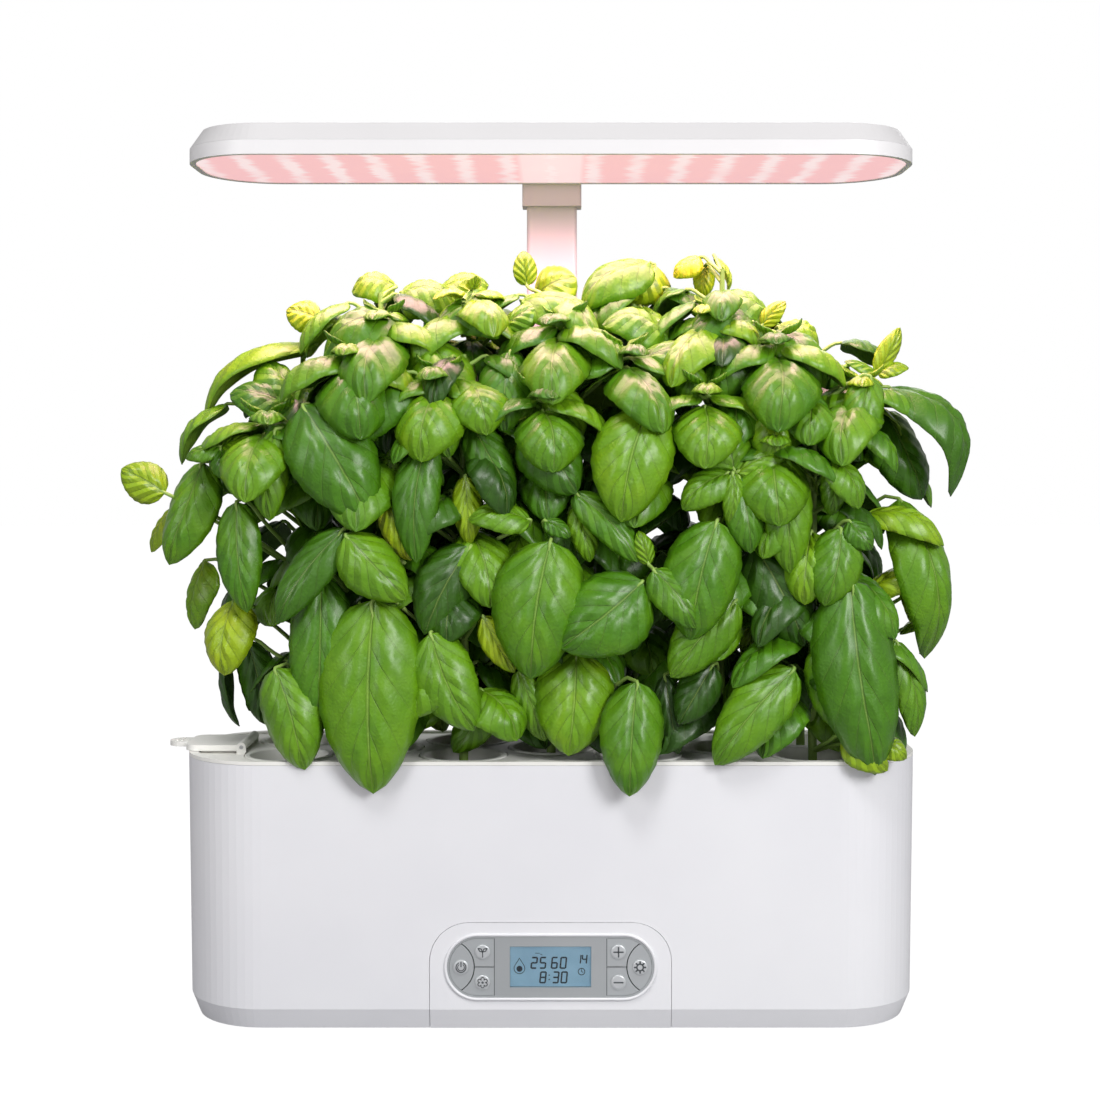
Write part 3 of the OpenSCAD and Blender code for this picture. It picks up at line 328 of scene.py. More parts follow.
finish_of = {
    "tank_body": white_abs, "rubber_feet": foot_rubber, "mast_sleeve": white_abs,
    "sleeve_cap": white_abs, "dc_inlet": black_abs, "control_cover": white_abs,
    "control_bezel": panel_silver, "lcd_module": display_light, "lcd_lens": display_window,
    "circuit_board": board_mask, "board_screws": zinc_steel, "pump_body": pump_plastic,
    "pump_filter": black_abs, "pump_impeller": cup_plastic, "return_tube": black_abs,
    "float_stem": cup_plastic, "level_float": float_foam, "grow_deck": deck_abs_painted_lamp_light,
    "flap_pin": zinc_steel, "fill_flap": deck_abs_painted_lamp_light, "grow_plugs": plug_peat,
    "mast_post": mast_abs_painted_lamp_light, "lamp_collar": mast_abs_painted_lamp_light, "lamp_frame": lamp_abs,
    "lamp_top_shell": lamp_top_abs_painted_shade, "lamp_diffuser": diffuser_glow, "led_board": board_white,
    "led_chips": chip_phosphor, "lamp_screws": zinc_steel,
}
for node_name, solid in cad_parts.items():
    if node_name.endswith("_button"):
        wanted = key_silver
    elif node_name.startswith("net_cup"):
        wanted = cup_plastic
    elif node_name.startswith("basil"):
        wanted = leaf_upper
    else:
        wanted = finish_of[node_name]
    dress(solid, wanted)


# ---------- making pieces -----------
def deselect_all():
    if bpy.context.mode != "OBJECT":
        bpy.ops.object.mode_set(mode="OBJECT")
    bpy.ops.object.select_all(action="DESELECT")


def select_only(piece):
    deselect_all()
    piece.select_set(True)
    bpy.context.view_layer.objects.active = piece


def select_edges(piece, test):
    bpy.ops.object.mode_set(mode="OBJECT")
    points = piece.data.vertices
    for edge in piece.data.edges:
        edge.select = test(points[edge.vertices[0]].co, points[edge.vertices[1]].co)
    bpy.ops.object.mode_set(mode="EDIT")
    bpy.ops.mesh.select_mode(type="EDGE")


def begin(primitive, **sizes):
    deselect_all()
    primitive(**sizes)
    return bpy.context.object


def name_piece(piece, name, finish, body):
    piece.name = name
    piece.data.name = name
    dress(piece, finish)
    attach(piece, body)


def one_piece(parts):
    """Join meshes into the first, with its place in the mesh."""
    deselect_all()
    for part in parts:
        part.select_set(True)
    bpy.context.view_layer.objects.active = parts[0]
    bpy.ops.object.join()
    bpy.ops.object.transform_apply(location=True, rotation=True, scale=True)
    return bpy.context.object


def new_curve(name, radius, resolution):
    """A curve shown as a round tube; the radius is in mm."""
    curve = bpy.data.curves.new(name, "CURVE")
    curve.dimensions = "3D"
    curve.bevel_depth = radius * MM
    curve.bevel_resolution = resolution
    return curve


def tube_mesh(name, curve):
    tube = bpy.data.objects.new(name, curve)
    bpy.context.scene.collection.objects.link(tube)
    select_only(tube)
    bpy.ops.object.convert(target="MESH")
    return bpy.context.object


def clamp(value, low, high):
    return min(max(value, low), high)


# ---------- basil ----------
deck_top = 134.6  # height of the deck's face over the surface
swing_room = 5  # kept free round the swing of the filler flap
cup_centres = {1: (-45, -24), 2: (135, -24), 3: (-90, 0), 4: (0, 0), 5: (90, 0),
               6: (-135, 24), 7: (-45, 24), 8: (45, 24), 9: (135, 24)}
# For each plant: foot x, y, z and tip x, y, z of each blade in mm from the cup's centre on the
# deck, its width, the direction its upper face looks in (turn from +X, angle up), how far it
# arches, and its tone: D dark with painted shade, M middle, G grey-green, Y young and pale with
# painted light shining through, P with painted light on top.
leaf_table = {
    1: [
        (-43, -32, 83, -43, -41, -13, 53, -90, 8, 6, "M"),
        (-29, -13, 197, -56, -23, 162, 36, -105, 35, 8, "M"),
        (-33, 0, 198, -61, -2, 197, 22, -90, 60, 9, "P"),
        (-36, -10, 167, -38, -12, 136, 13, -90, 20, 3, "M"),
        (-17, -25, 162, -22, -33, 101, 24, -90, 15, 5, "G"),
        (-57, -33, 115, -26, -41, 84, 30, -90, 30, 6, "M"),
        (-38, -23, 131, -25, -27, 102, 17, -90, 20, 3, "Y"),
        (5, -23, 109, -18, -30, 65, 31, -80, 12, 4, "D"),
        (-15, -30, 66, 7, -37, 18, 31, -90, 12, 5, "M"),
        (14, -5, 29, -5, -10, 3, 20, -90, 15, 3, "M"),
        (19, 5, 48, 20, 1, 13, 14, -80, 10, 3, "M"),
        (11, -25, 74, 27, -29, 46, 15, -90, 15, 3, "Y"),
        (35, -25, 122, 4, -29, 124, 22, -90, 45, 5, "M"),
        (2, -20, 144, 4, -25, 110, 16, -90, 20, 4, "Y"),
        (4, -17, 172, 26, -27, 132, 22, -90, 20, 4, "G"),
        (-14, -15, 183, -6, -23, 154, 23, -90, 35, 4, "M"),
        (-19, 0, 215, 1, -17, 174, 34, -90, 45, 8, "P"),
        (-28, -5, 198, -32, -13, 170, 23, -95, 35, 5, "M"),
    ],
    2: [
        (20, 10, 201, 6, 7, 191, 16, -90, 50, 3, "P"),
        (28, -10, 195, 21, -20, 157, 21, -90, 35, 5, "M"),
        (40, 5, 190, 76, 0, 136, 40, -40, 40, 20, "D"),
        (35, 10, 197, 48, 10, 221, 12, -60, 20, 2, "Y"),
        (35, 10, 197, 51, 8, 201, 15, -60, 60, 3, "Y"),
        (35, 10, 197, 18, 8, 204, 11, -110, 60, 2, "M"),
        (-18, -23, 156, -15, -33, 96, 27, -90, 15, 5, "M"),
        (-32, -17, 109, -7, -25, 59, 34, -90, 12, 5, "D"),
        (10, -30, 118, 1, -37, 80, 26, -90, 20, 5, "M"),
        (8, -20, 149, 6, -23, 124, 14, -90, 20, 3, "M"),
        (-4, -13, 187, 2, -18, 162, 14, -90, 25, 3, "M"),
        (14, -30, 122, 25, -34, 108, 15, -90, 30, 3, "M"),
        (27, -5, 125, 66, -13, 111, 24, -60, 50, 8, "Y"),
        (26, -5, 85, 63, -9, 95, 20, -70, 50, 5, "Y"),
        (14, -33, 93, 27, -41, -4, 43, -88, 8, 6, "M"),
        (3, -23, 61, 9, -27, 17, 26, -90, 10, 4, "M"),
        (39, -20, 61, 50, -23, 13, 22, -60, 15, 4, "M"),
        (12, -27, 14, 33, -35, -1, 20, -90, 35, 4, "Y"),
        (30, -28, 12, 43, -31, 4, 14, -90, 40, 3, "Y"),
        (-12, -10, 47, -17, -13, 7, 24, -90, 10, 3, "D"),
    ],
    3: [
        (-48, -50, 48, -33, -58, -2, 31, -95, 12, 5, "M"),
        (-25, -48, 94, -26, -53, 18, 33, -90, 10, 6, "M"),
        (-49, -42, 168, -52, -50, 122, 22, -95, 20, 4, "M"),
        (-35, -45, 180, 0, -60, 124, 44, -90, 25, 8, "M"),
        (-13, -52, 118, -47, -60, 72, 24, -100, 20, 4, "D"),
        (15, -15, 221, -28, -25, 211, 46, -90, 55, 14, "P"),
        (7, 10, 245, -17, 10, 245, 26, -90, 55, 7, "P"),
        (-33, 5, 227, -51, 5, 232, 20, -110, 30, 3, "Y"),
    ],
    4: [
        (0, -56, 112, -10, -64, 44, 46, -90, 12, 8, "M"),
        (46, -58, 92, 5, -66, 60, 42, -90, 20, 7, "M"),
        (13, -45, 56, 9, -56, 5, 40, -90, 10, 5, "M"),
        (-16, -40, 46, -3, -44, 10, 18, -95, 10, 3, "M"),
        (43, -56, 42, 39, -68, -13, 32, -90, 8, 5, "M"),
        (12, -48, 136, 44, -56, 102, 20, -85, 25, 4, "G"),
        (13, -44, 129, 20, -48, 101, 15, -85, 20, 3, "M"),
        (-3, -50, 122, 10, -53, 114, 11, -90, 40, 2, "M"),
        (-21, -28, 208, -23, -42, 166, 28, -90, 35, 7, "M"),
        (-12, -30, 203, 15, -36, 199, 26, -90, 50, 6, "M"),
        (-3, -15, 219, 35, -28, 196, 30, -85, 55, 9, "P"),
        (-10, -38, 185, -4, -42, 163, 16, -90, 25, 3, "M"),
        (3, -38, 190, 12, -45, 159, 24, -85, 25, 5, "M"),
        (-13, -45, 166, 13, -54, 136, 31, -90, 20, 5, "G"),
        (-9, 20, 240, 13, 14, 250, 34, -90, 30, 6, "Y"),
        (-13, 10, 245, -15, 10, 264, 13, -90, 20, 2, "Y"),
        (-16, -5, 236, 27, -10, 222, 32, -90, 60, 11, "P"),
        (-24, -15, 222, -6, -15, 233, 18, -90, 40, 3, "M"),
    ],
    5: [
        (-32, -38, 43, -25, -42, 3, 15, -85, 10, 3, "D"),
        (-7, -55, 122, -21, -62, 63, 38, -90, 20, 8, "M"),
        (3, -50, 82, -30, -56, 44, 28, -85, 15, 4, "M"),
        (-8, -44, 49, -26, -50, 20, 22, -95, 12, 3, "D"),
        (-39, -60, 98, -18, -66, 70, 22, -90, 30, 4, "M"),
        (-41, -55, 100, -46, -55, 117, 10, -90, 20, 2, "M"),
        (-19, -30, 204, -19, -34, 180, 18, -90, 25, 4, "M"),
        (10, -22, 211, -10, -30, 183, 32, -90, 45, 7, "M"),
        (32, -25, 205, 16, -35, 180, 29, -90, 45, 6, "M"),
        (-2, 20, 262, 7, 20, 243, 14, 0, 20, 4, "Y"),
        (-10, 15, 261, -25, 15, 251, 18, -90, 55, 3, "Y"),
        (-7, 18, 257, -8, 18, 239, 12, -90, 20, 2, "Y"),
        (16, -12, 224, -18, -20, 219, 30, -90, 50, 9, "M"),
        (20, -12, 222, 32, -14, 235, 11, -90, 30, 2, "Y"),
        (25, -18, 219, 53, -28, 192, 32, -75, 50, 9, "P"),
        (21, -40, 179, 22, -50, 151, 26, -90, 35, 5, "P"),
        (2, -50, 147, -7, -44, 169, 30, -90, 30, 5, "M"),
        (3, -50, 146, 30, -48, 157, 16, -90, 40, 3, "M"),
        (-1, -52, 146, -25, -56, 129, 22, -95, 40, 4, "M"),
        (1, -54, 146, -1, -58, 121, 12, -90, 25, 3, "M"),
        (4, -53, 144, 10, -58, 106, 21, -85, 25, 4, "M"),
        (32, -52, 48, -9, -62, 2, 30, -95, 20, 6, "M"),
        (17, -10, 68, 14, -12, 41, 12, -80, 15, 2, "Y"),
    ],
    6: [
        (-28, -50, 80, -33, -60, 43, 30, -110, 20, 5, "Y"),
        (-43, 6, 54, -39, 6, 6, 20, 180, 15, 5, "D"),
        (-30, -1, 54, -21, -1, 8, 22, -90, 10, 2, "D"),
        (-48, -25, 99, -55, -28, 63, 26, -140, 20, 4, "Y"),
        (-25, -60, 131, -19, -67, 75, 24, -95, 15, 4, "M"),
        (-45, -45, 151, -63, -53, 99, 31, -110, 20, 5, "M"),
        (-64, -25, 128, -77, -28, 104, 21, -150, 20, 3, "Y"),
        (-64, -47, 135, -86, -50, 148, 22, -90, 20, 3, "Y"),
        (-38, -15, 182, -64, -17, 151, 26, 180, 50, 8, "M"),
        (9, -10, 214, -55, -12, 178, 28, 180, 65, 14, "P"),
        (-1, -30, 180, -33, -33, 189, 30, -110, 45, 6, "M"),
        (2, -30, 180, -17, -20, 206, 31, -60, 40, 5, "P"),
        (-34, -55, 159, -52, -57, 154, 14, -90, 50, 3, "M"),
        (-34, -55, 159, -15, -57, 162, 13, -90, 50, 3, "M"),
        (-34, -56, 158, -30, -61, 142, 15, -90, 40, 3, "M"),
    ],
    7: [
        (21, -35, 225, -15, -43, 225, 34, -90, 60, 10, "P"),
        (-15, -10, 243, 11, -10, 248, 28, -90, 55, 5, "P"),
        (-35, -20, 241, -6, -20, 236, 34, -90, 55, 8, "P"),
    ],
    8: [
        (5, -73, 179, -10, -85, 122, 41, -90, 18, 9, "M"),
        (-5, -47, 198, 32, -53, 211, 26, -90, 50, 5, "M"),
        (15, -30, 217, -17, -37, 226, 34, -90, 60, 8, "P"),
        (8, -10, 258, -30, -20, 236, 34, -95, 55, 7, "P"),
        (11, 0, 258, -3, -4, 238, 30, -90, 30, 3, "Y"),
    ],
    9: [
        (-18, -20, 226, -52, -25, 236, 38, -90, 60, 10, "P"),
        (-16, -30, 222, 7, -30, 212, 30, -50, 50, 8, "P"),
        (41, -30, 178, 61, -35, 132, 34, -70, 25, 5, "D"),
        (46, -40, 132, 62, -48, 50, 36, -62, 25, 20, "M"),
        (54, -35, 95, 56, -37, 65, 17, -60, 15, 3, "Y"),
        (64, -40, 85, 58, -43, 51, 13, -30, 15, 3, "Y"),
        (67, -30, 70, 48, -30, 61, 8, -90, 40, 2, "Y"),
    ],
}
# D is painted shade; Y and P are lighter as painted light, Y partly because young leaves are paler
tone_of = {"D": 0.12, "M": 0.42, "G": 0.3, "Y": 0.74, "P": 0.46}
ACROSS, ALONG = 12, 24  # faces of a blade
WIDEST = 0.42  # where along its midrib a blade is widest
STALK_RISE = 0.55  # how far a stalk rises for each mm that it reaches out
ROOT = 6  # how deep a main stem starts in its plug, in mm


def unit_blade():
    """The flat pattern that every blade is copied from: x across, y along."""
    pattern = begin(bpy.ops.mesh.primitive_grid_add, x_subdivisions=ACROSS,
                    y_subdivisions=ALONG, size=2)
    pattern.name = "blade_pattern"
    bpy.ops.object.transform_apply(location=True, rotation=True, scale=True)
    return pattern


def blade_width(u):
    """Half width of an egg-shaped blade with a drawn-out tip, 1 at its widest."""
    u = clamp(u, 0.0, 1.0)
    return (u / WIDEST) ** 0.5 * ((1 - u) / (1 - WIDEST)) ** 0.69


def aim(turn, up):
    turn, up = math.radians(turn), math.radians(up)
    return Vector((math.cos(up) * math.cos(turn), math.cos(up) * math.sin(turn), math.sin(up)))


def axes_of(row, centre):
    """Foot and tip of a blade in mm, where its upper face looks and its width runs."""
    foot, tip = Vector(row[0:3]) + centre, Vector(row[3:6]) + centre
    along = (tip - foot).normalized()
    look = aim(row[7], row[8])
    face = (look - along * look.dot(along)).normalized()
    return foot, tip, face, along.cross(face)


def midrib_at(foot, tip, face, arch, u):
    """The spot at share u of a blade's arched midrib."""
    return foot + (tip - foot) * u + face * arch * 4 * u * (1 - u)


def grow_blade(pattern, centre, row, dice):
    """One blade: the pattern bent along its midrib, cupped, quilted and waved."""
    foot, tip, face, side = axes_of(row, centre)
    width, arch, long = row[6], row[9], (tip - foot).length
    phase, wave, cup = dice.uniform(0, 6.3), dice.uniform(0.015, 0.04), dice.uniform(0.2, 0.3)
    lean, nod = dice.uniform(-0.05, 0.05), dice.uniform(0.04, 0.1)
    if row[10] == "P":
        cup, nod = cup + 0.07, nod + 0.05
    quilt = min(0.052, 0.03 + 0.0007 * width)
    blade = pattern.copy()
    blade.data = pattern.data.copy()
    bpy.context.scene.collection.objects.link(blade)
    flat = []
    for vertex in blade.data.vertices:
        v, u = vertex.co.x, (vertex.co.y + 1) / 2
        w = blade_width(u)
        edge = abs(v)
        tooth = 1 + 0.018 * math.sin(u * 46) * edge ** 6
        spread = width / 2 * w * tooth * v
        # cupped: the halves swell up and their edges roll down
        rise = -cup * width * w * edge ** 1.9
        # the midrib lies in a groove
        rise -= 0.045 * width * math.exp(-(v / 0.13) ** 2) * w
        # quilted: the fields between the side veins swell
        sweep = u * VEINS + (VEIN_STAGGER if v > 0 else 0) - VEIN_SWEEP * edge ** VEIN_BEND
        field = abs((sweep % 1.0) - 0.5) * 2
        rise += quilt * width * (1 - field ** 2) * min(1, edge * 4) * (1 - edge ** 4) * w ** 0.5
        # the rim waves, and the tip nods
        rise += wave * width * math.sin(u * 9 + phase + v) * edge ** 2 * w
        rise -= nod * long * max(0.0, (u - 0.72) / 0.28) ** 2
        middle = midrib_at(foot, tip, face, arch, u) + side * lean * long * math.sin(u * math.pi)
        flat.extend((middle + side * spread + face * rise) * MM)
    blade.data.vertices.foreach_set("co", flat)
    tone = clamp(tone_of[row[10]] + dice.uniform(-0.16, 0.16), 0.0, 1.0)
    colours = blade.data.color_attributes.new("tone", "FLOAT_COLOR", "POINT")
    colours.data.foreach_set("color", [tone, tone, tone, 1.0] * len(blade.data.vertices))
    return blade


def grow_stems(name, centre, rows, top):
    """Main stem and one curved stalk to each blade, as round tubes."""
    curve = new_curve(name, 1, 2)
    curve.resolution_u = 4

    def tube(points, radii):
        spline = curve.splines.new("BEZIER")
        spline.bezier_points.add(len(points) - 1)
        for knot, point, radius in zip(spline.bezier_points, points, radii):
            knot.co = point * MM
            knot.radius = radius
            knot.handle_left_type = knot.handle_right_type = "AUTO"

    sway = [Vector((rng.uniform(-1, 1), rng.uniform(-1, 1), 0)) for i in range(5)]
    tube([centre + Vector((0, 0, -ROOT + (top + ROOT) * i / 4)) + sway[i] * 0.5 * min(i, 1)
          for i in range(5)], [2.4, 2.3, 2.1, 1.8, 1.4])
    # blades with one foot share one stalk, which runs a little way into the first of them
    stalks = {}
    for row in rows:
        stalks.setdefault(tuple(row[0:3]), row)
    for row in stalks.values():
        foot = Vector(row[0:3])
        out = math.hypot(foot.x, foot.y)
        start = Vector((0, 0, max(2, foot.z - STALK_RISE * out)))
        middle = (start + foot) / 2 + Vector((0, 0, 0.04 * out))
        into = foot + (Vector(row[3:6]) - foot) * 0.12
        tube([centre + start, centre + middle, centre + foot, centre + into],
             [1.3, 1.1, 0.95, 0.5])
    stems = tube_mesh(name, curve)
    dress(stems, leaf_upper, leaf_under, stem_green)
    for polygon in stems.data.polygons:
        polygon.material_index = 2
    return stems


def stem_top(rows):
    """Where the highest stalk leaves the main stem, in mm over the deck."""
    return max(row[2] - STALK_RISE * math.hypot(row[0], row[1]) for row in rows)


def canopy_top(x):
    """Height of the canopy's outline over the surface, lower towards its ends."""
    return 384 - 62 * (abs(x) / 205) ** 2.2


def fill_rows(k, rows, dice):
    """More leaves up each stem, turned as basil turns them, to close the canopy."""
    x0, y0 = cup_centres[k]
    top = stem_top(rows)
    made = []
    level, turn = 22 + dice.uniform(0, 8), dice.uniform(0, 360)
    while level < top:
        size = dice.uniform(46, 58) * (1 - 0.3 * (level / top) ** 2)
        for s in (0, 120, 240):
            a = math.radians(turn + s + dice.uniform(-18, 18))
            out = dice.uniform(6, 22)
            reach = out + size * dice.uniform(0.55, 0.85)
            foot_x, tip_x = out * math.cos(a), reach * math.cos(a)
            # behind the front leaves, before the mast and within the canopy's ends
            foot_y = clamp(out * math.sin(a), -48 - y0, 36 - y0)
            tip_y = clamp(reach * math.sin(a), -56 - y0, 43 - y0)
            tip_x = clamp(tip_x, -204 - x0, 204 - x0)
            rise = min(level + out * 0.5, canopy_top(x0 + foot_x) - deck_top)
            low = max(rise - size * dice.uniform(0.35, 0.8), 6)
            facing = math.degrees(a) + dice.uniform(-12, 12)
            # the leaves filled in behind take mostly tone D, painted shade
            made.append((foot_x, foot_y, rise, tip_x, tip_y, low,
                         size * dice.uniform(0.58, 0.72), facing, dice.uniform(30, 55), 7,
                         dice.choice("DDMGM")))
        level += dice.uniform(15, 19)
        turn += 62 + dice.uniform(-12, 12)
    return made


# Crowns of the canopy: x, y, z over the surface, length of the lowest blades, turn, tones
crowns = (
    (-86, -22, 352, 50, 250, "PM"), (-42, -12, 364, 48, 205, "PY"), (-102, -34, 334, 56, 275, "PM"),
    (-56, -38, 322, 52, 262, "PM"), (6, -22, 350, 54, 250, "PM"), (38, -32, 334, 52, 285, "PM"),
    (84, -12, 356, 46, 240, "PY"), (116, -28, 340, 54, 265, "PM"), (78, -40, 314, 50, 280, "MM"),
    (112, -42, 288, 50, 258, "MM"), (160, -24, 318, 46, 250, "PY"), (-146, -30, 300, 54, 268, "MM"),
    (-92, -20, 290, 60, 262, "GM"), (-4, -44, 312, 54, 270, "MM"), (46, -18, 284, 50, 262, "MM"),
    (-40, 30, 346, 50, 80, "MY"), (42, 28, 350, 50, 100, "MY"), (120, 26, 330, 50, 70, "MM"),
    (-120, 26, 322, 50, 100, "MM"), (-166, 10, 280, 44, 170, "MM"), (172, 12, 290, 44, 10, "MM"),
)


# The crossed pairs of blades in a crown: share of its size, height, droop, angle of the face
crown_pairs = ((1.0, 0, 0.62, 38), (0.78, 5, 0.4, 48), (0.46, 9, 0.1, 52), (0.26, 11, -0.5, 30))


def nearest_cup(x, y):
    return min(cup_centres, key=lambda k: math.hypot(x - cup_centres[k][0],
                                                     y - cup_centres[k][1]))


def crown_rows(k, dice):
    """Crossed pairs of blades at the end of a shoot, large below and small above."""
    x0, y0 = cup_centres[k]
    made = []
    for x, y, z, size, turn, tones in crowns:
        if nearest_cup(x, y) != k:
            continue
        for step, (share, up, droop, facing) in enumerate(crown_pairs):
            for s in (0, 180):
                a = math.radians(turn + 90 * step + s + dice.uniform(-14, 14))
                reach = size * share * dice.uniform(0.9, 1.06)
                foot = (x - x0 + 2 * math.cos(a), y - y0 + 2 * math.sin(a), z - deck_top + up)
                tip = (clamp(foot[0] + reach * 0.82 * math.cos(a), -206 - x0, 206 - x0),
                       clamp(foot[1] + reach * 0.82 * math.sin(a), -64 - y0, 60 - y0),
                       foot[2] - reach * droop)
                made.append((*foot, *tip, reach * 0.72, math.degrees(a), facing,
                             reach * 0.16, tones[step // 2]))
    return made


def in_flap_swing(row, centre):
    """Whether a blade would stand in the room that the filler flap sweeps as it opens."""
    low, high = (Vector(corner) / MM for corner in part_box("fill_flap"))
    hinge_x = (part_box("flap_pin")[0].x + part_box("flap_pin")[1].x) / 2 / MM
    low -= Vector((swing_room, swing_room, 0))
    high = Vector((hinge_x, high.y, low.z + hinge_x - low.x)) + Vector((1, 1, 1)) * swing_room
    foot, tip, face, side = axes_of(row, centre)
    for i in range(9):
        u = i / 8
        spot = midrib_at(foot, tip, face, row[9], u)
        for v in (-1, -0.5, 0, 0.5, 1):
            edge = spot + side * v * row[6] / 2 * blade_width(u)
            if all(low[axis] < edge[axis] < high[axis] for axis in range(3)):
                return True
    return False


def grow_basil(k, pattern):
    dice = random.Random(100 + k)
    x0, y0 = cup_centres[k]
    centre = Vector((x0, y0, deck_top))
    rows = list(leaf_table[k])
    top = stem_top(rows) + 2
    rows += fill_rows(k, rows, dice) + crown_rows(k, dice)
    rows = [row for row in rows if not in_flap_swing(row, centre)]
    blades = one_piece([grow_blade(pattern, centre, row, dice) for row in rows])
    dress(blades, leaf_upper, leaf_under, stem_green)
    wall = blades.modifiers.new("blade_thickness", "SOLIDIFY")
    wall.thickness = 0.7 * MM
    wall.offset = -1
    wall.material_offset = 1
    wall.material_offset_rim = 1
    bpy.ops.object.modifier_apply(modifier=wall.name)
    stems = grow_stems("stems_%d" % k, centre, rows, top)
    plant = one_piece([blades, stems])
    select_only(plant)
    bpy.ops.object.shade_smooth()
    plant.name = "basil_plant_%d" % k
    plant.data.name = plant.name
    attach(plant, "deck")
    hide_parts("basil_%d" % k)


blade_pattern = unit_blade()
for k in sorted(cup_centres):
    grow_basil(k, blade_pattern)
bpy.data.objects.remove(blade_pattern)


# ---------- control panel ----------
panel_z = 33  # height of the panel's middle over the surface
INK_DEEP = 0.06  # how thick the printed marks are
DOME_RADIUS, DOME_HIGH = 3.8, 0.8
END_KEY_X, KEY_X, KEY_Z = 44.8, 34.0, 7.6  # from the panel's middle to the keys'
bezel_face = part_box("control_bezel")[0].y / MM
figure_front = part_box("lcd_lens")[1].y / MM + 0.02


def bar(x0, z0, x1, z1, thick, front):
    """A flat bar with bevelled ends between two points of the panel."""
    length = math.hypot(x1 - x0, z1 - z0) + thick * 0.9
    made = begin(bpy.ops.mesh.primitive_cube_add, size=1)
    made.scale = (length * MM, INK_DEEP * MM, thick * MM)
    bpy.ops.object.transform_apply(location=False, rotation=False, scale=True)
    bpy.ops.object.mode_set(mode="EDIT")
    bpy.ops.mesh.select_all(action="DESELECT")
    select_edges(made, lambda a, b: abs(a.x - b.x) < 1e-7 and abs(a.z - b.z) < 1e-7)
    bpy.ops.mesh.bevel(offset=thick * 0.42 * MM, segments=3)
    bpy.ops.object.mode_set(mode="OBJECT")
    made.rotation_euler = (0, -math.atan2(z1 - z0, x1 - x0), 0)
    made.location = ((x0 + x1) / 2 * MM, (front + INK_DEEP / 2) * MM,
                     (panel_z + (z0 + z1) / 2) * MM)
    return made


def begin_disc(x, z, radius, y, sides):
    return begin(bpy.ops.mesh.primitive_circle_add, vertices=sides, radius=radius * MM,
                 fill_type="NGON", rotation=(HALF_PI, 0, 0),
                 location=(x * MM, y * MM, (panel_z + z) * MM))


def disc(x, z, radius, front, sides=40, hole=0.0):
    """A round plate facing forwards, or a ring where it has a hole."""
    made = begin_disc(x, z, radius, front + INK_DEEP, sides)
    bpy.ops.object.mode_set(mode="EDIT")
    bpy.ops.mesh.select_all(action="SELECT")
    if hole:
        bpy.ops.mesh.inset(thickness=(radius - hole) * MM)
        bpy.ops.mesh.delete(type="FACE")
        bpy.ops.mesh.select_all(action="SELECT")
    bpy.ops.mesh.extrude_region_move(TRANSFORM_OT_translate={"value": (0, -INK_DEEP * MM, 0)})
    bpy.ops.mesh.select_all(action="SELECT")
    bpy.ops.mesh.normals_make_consistent(inside=False)
    bpy.ops.object.mode_set(mode="OBJECT")
    return made


def key_dome(name, body, x, z):
    """The raised button of a key: a low round crown with a soft shoulder."""
    made = begin_disc(x, z, DOME_RADIUS, bezel_face + 0.04, 56)
    bpy.ops.object.mode_set(mode="EDIT")
    bpy.ops.mesh.select_all(action="SELECT")
    for forward, narrow in ((0.5, 0.035), (0.28, 0.08), (0.14, 0.16), (0.06, 0.3), (0.02, 0.32)):
        bpy.ops.mesh.inset(thickness=DOME_RADIUS * narrow * MM)
        bpy.ops.transform.translate(value=(0, -DOME_HIGH * forward * MM, 0))
    bpy.ops.object.mode_set(mode="OBJECT")
    bpy.ops.object.transform_apply(location=True, rotation=True, scale=True)
    bpy.ops.object.shade_smooth()
    name_piece(made, name, dome_silver_painted_light, body)


# Which side of each seven-segment figure is lit: top, upper right, lower right, bottom,
# lower left, upper left, middle
segments = {"0": "1111110", "1": "0110000", "2": "1101101", "3": "1111001", "4": "0110011",
            "5": "1011011", "6": "1011111", "8": "1111111"}


def figure(number, x, z, high):
    """One slanted seven-segment figure, centred at x, z."""
    wide, thick, slant = high * 0.5, high * 0.15, 0.1
    ends = [((-1, 1), (1, 1)), ((1, 1), (1, 0)), ((1, 0), (1, -1)), ((1, -1), (-1, -1)),
            ((-1, -1), (-1, 0)), ((-1, 0), (-1, 1)), ((-1, 0), (1, 0))]
    parts = []
    for lit, ((ax, az), (bx, bz)) in zip(segments[number], ends):
        if lit == "0":
            continue
        # each segment stops short of its neighbours
        mx, mz = (ax + bx) / 2, (az + bz) / 2
        spots = []
        for px, pz in ((ax, az), (bx, bz)):
            px, pz = mx + (px - mx) * 0.72, mz + (pz - mz) * 0.76
            spots += [x + px * wide / 2 + pz * high / 2 * slant, z + pz * high / 2]
        parts.append(bar(*spots, thick, figure_front))
    return parts


def arc(x, z, radius, start, stop, thick, front, steps):
    """Short bars along part of a circle; the angles are in degrees."""
    spots = [(x + radius * math.cos(math.radians(start + (stop - start) * i / steps)),
              z + radius * math.sin(math.radians(start + (stop - start) * i / steps)))
             for i in range(steps + 1)]
    return [bar(*a, *b, thick, front) for a, b in zip(spots, spots[1:])]


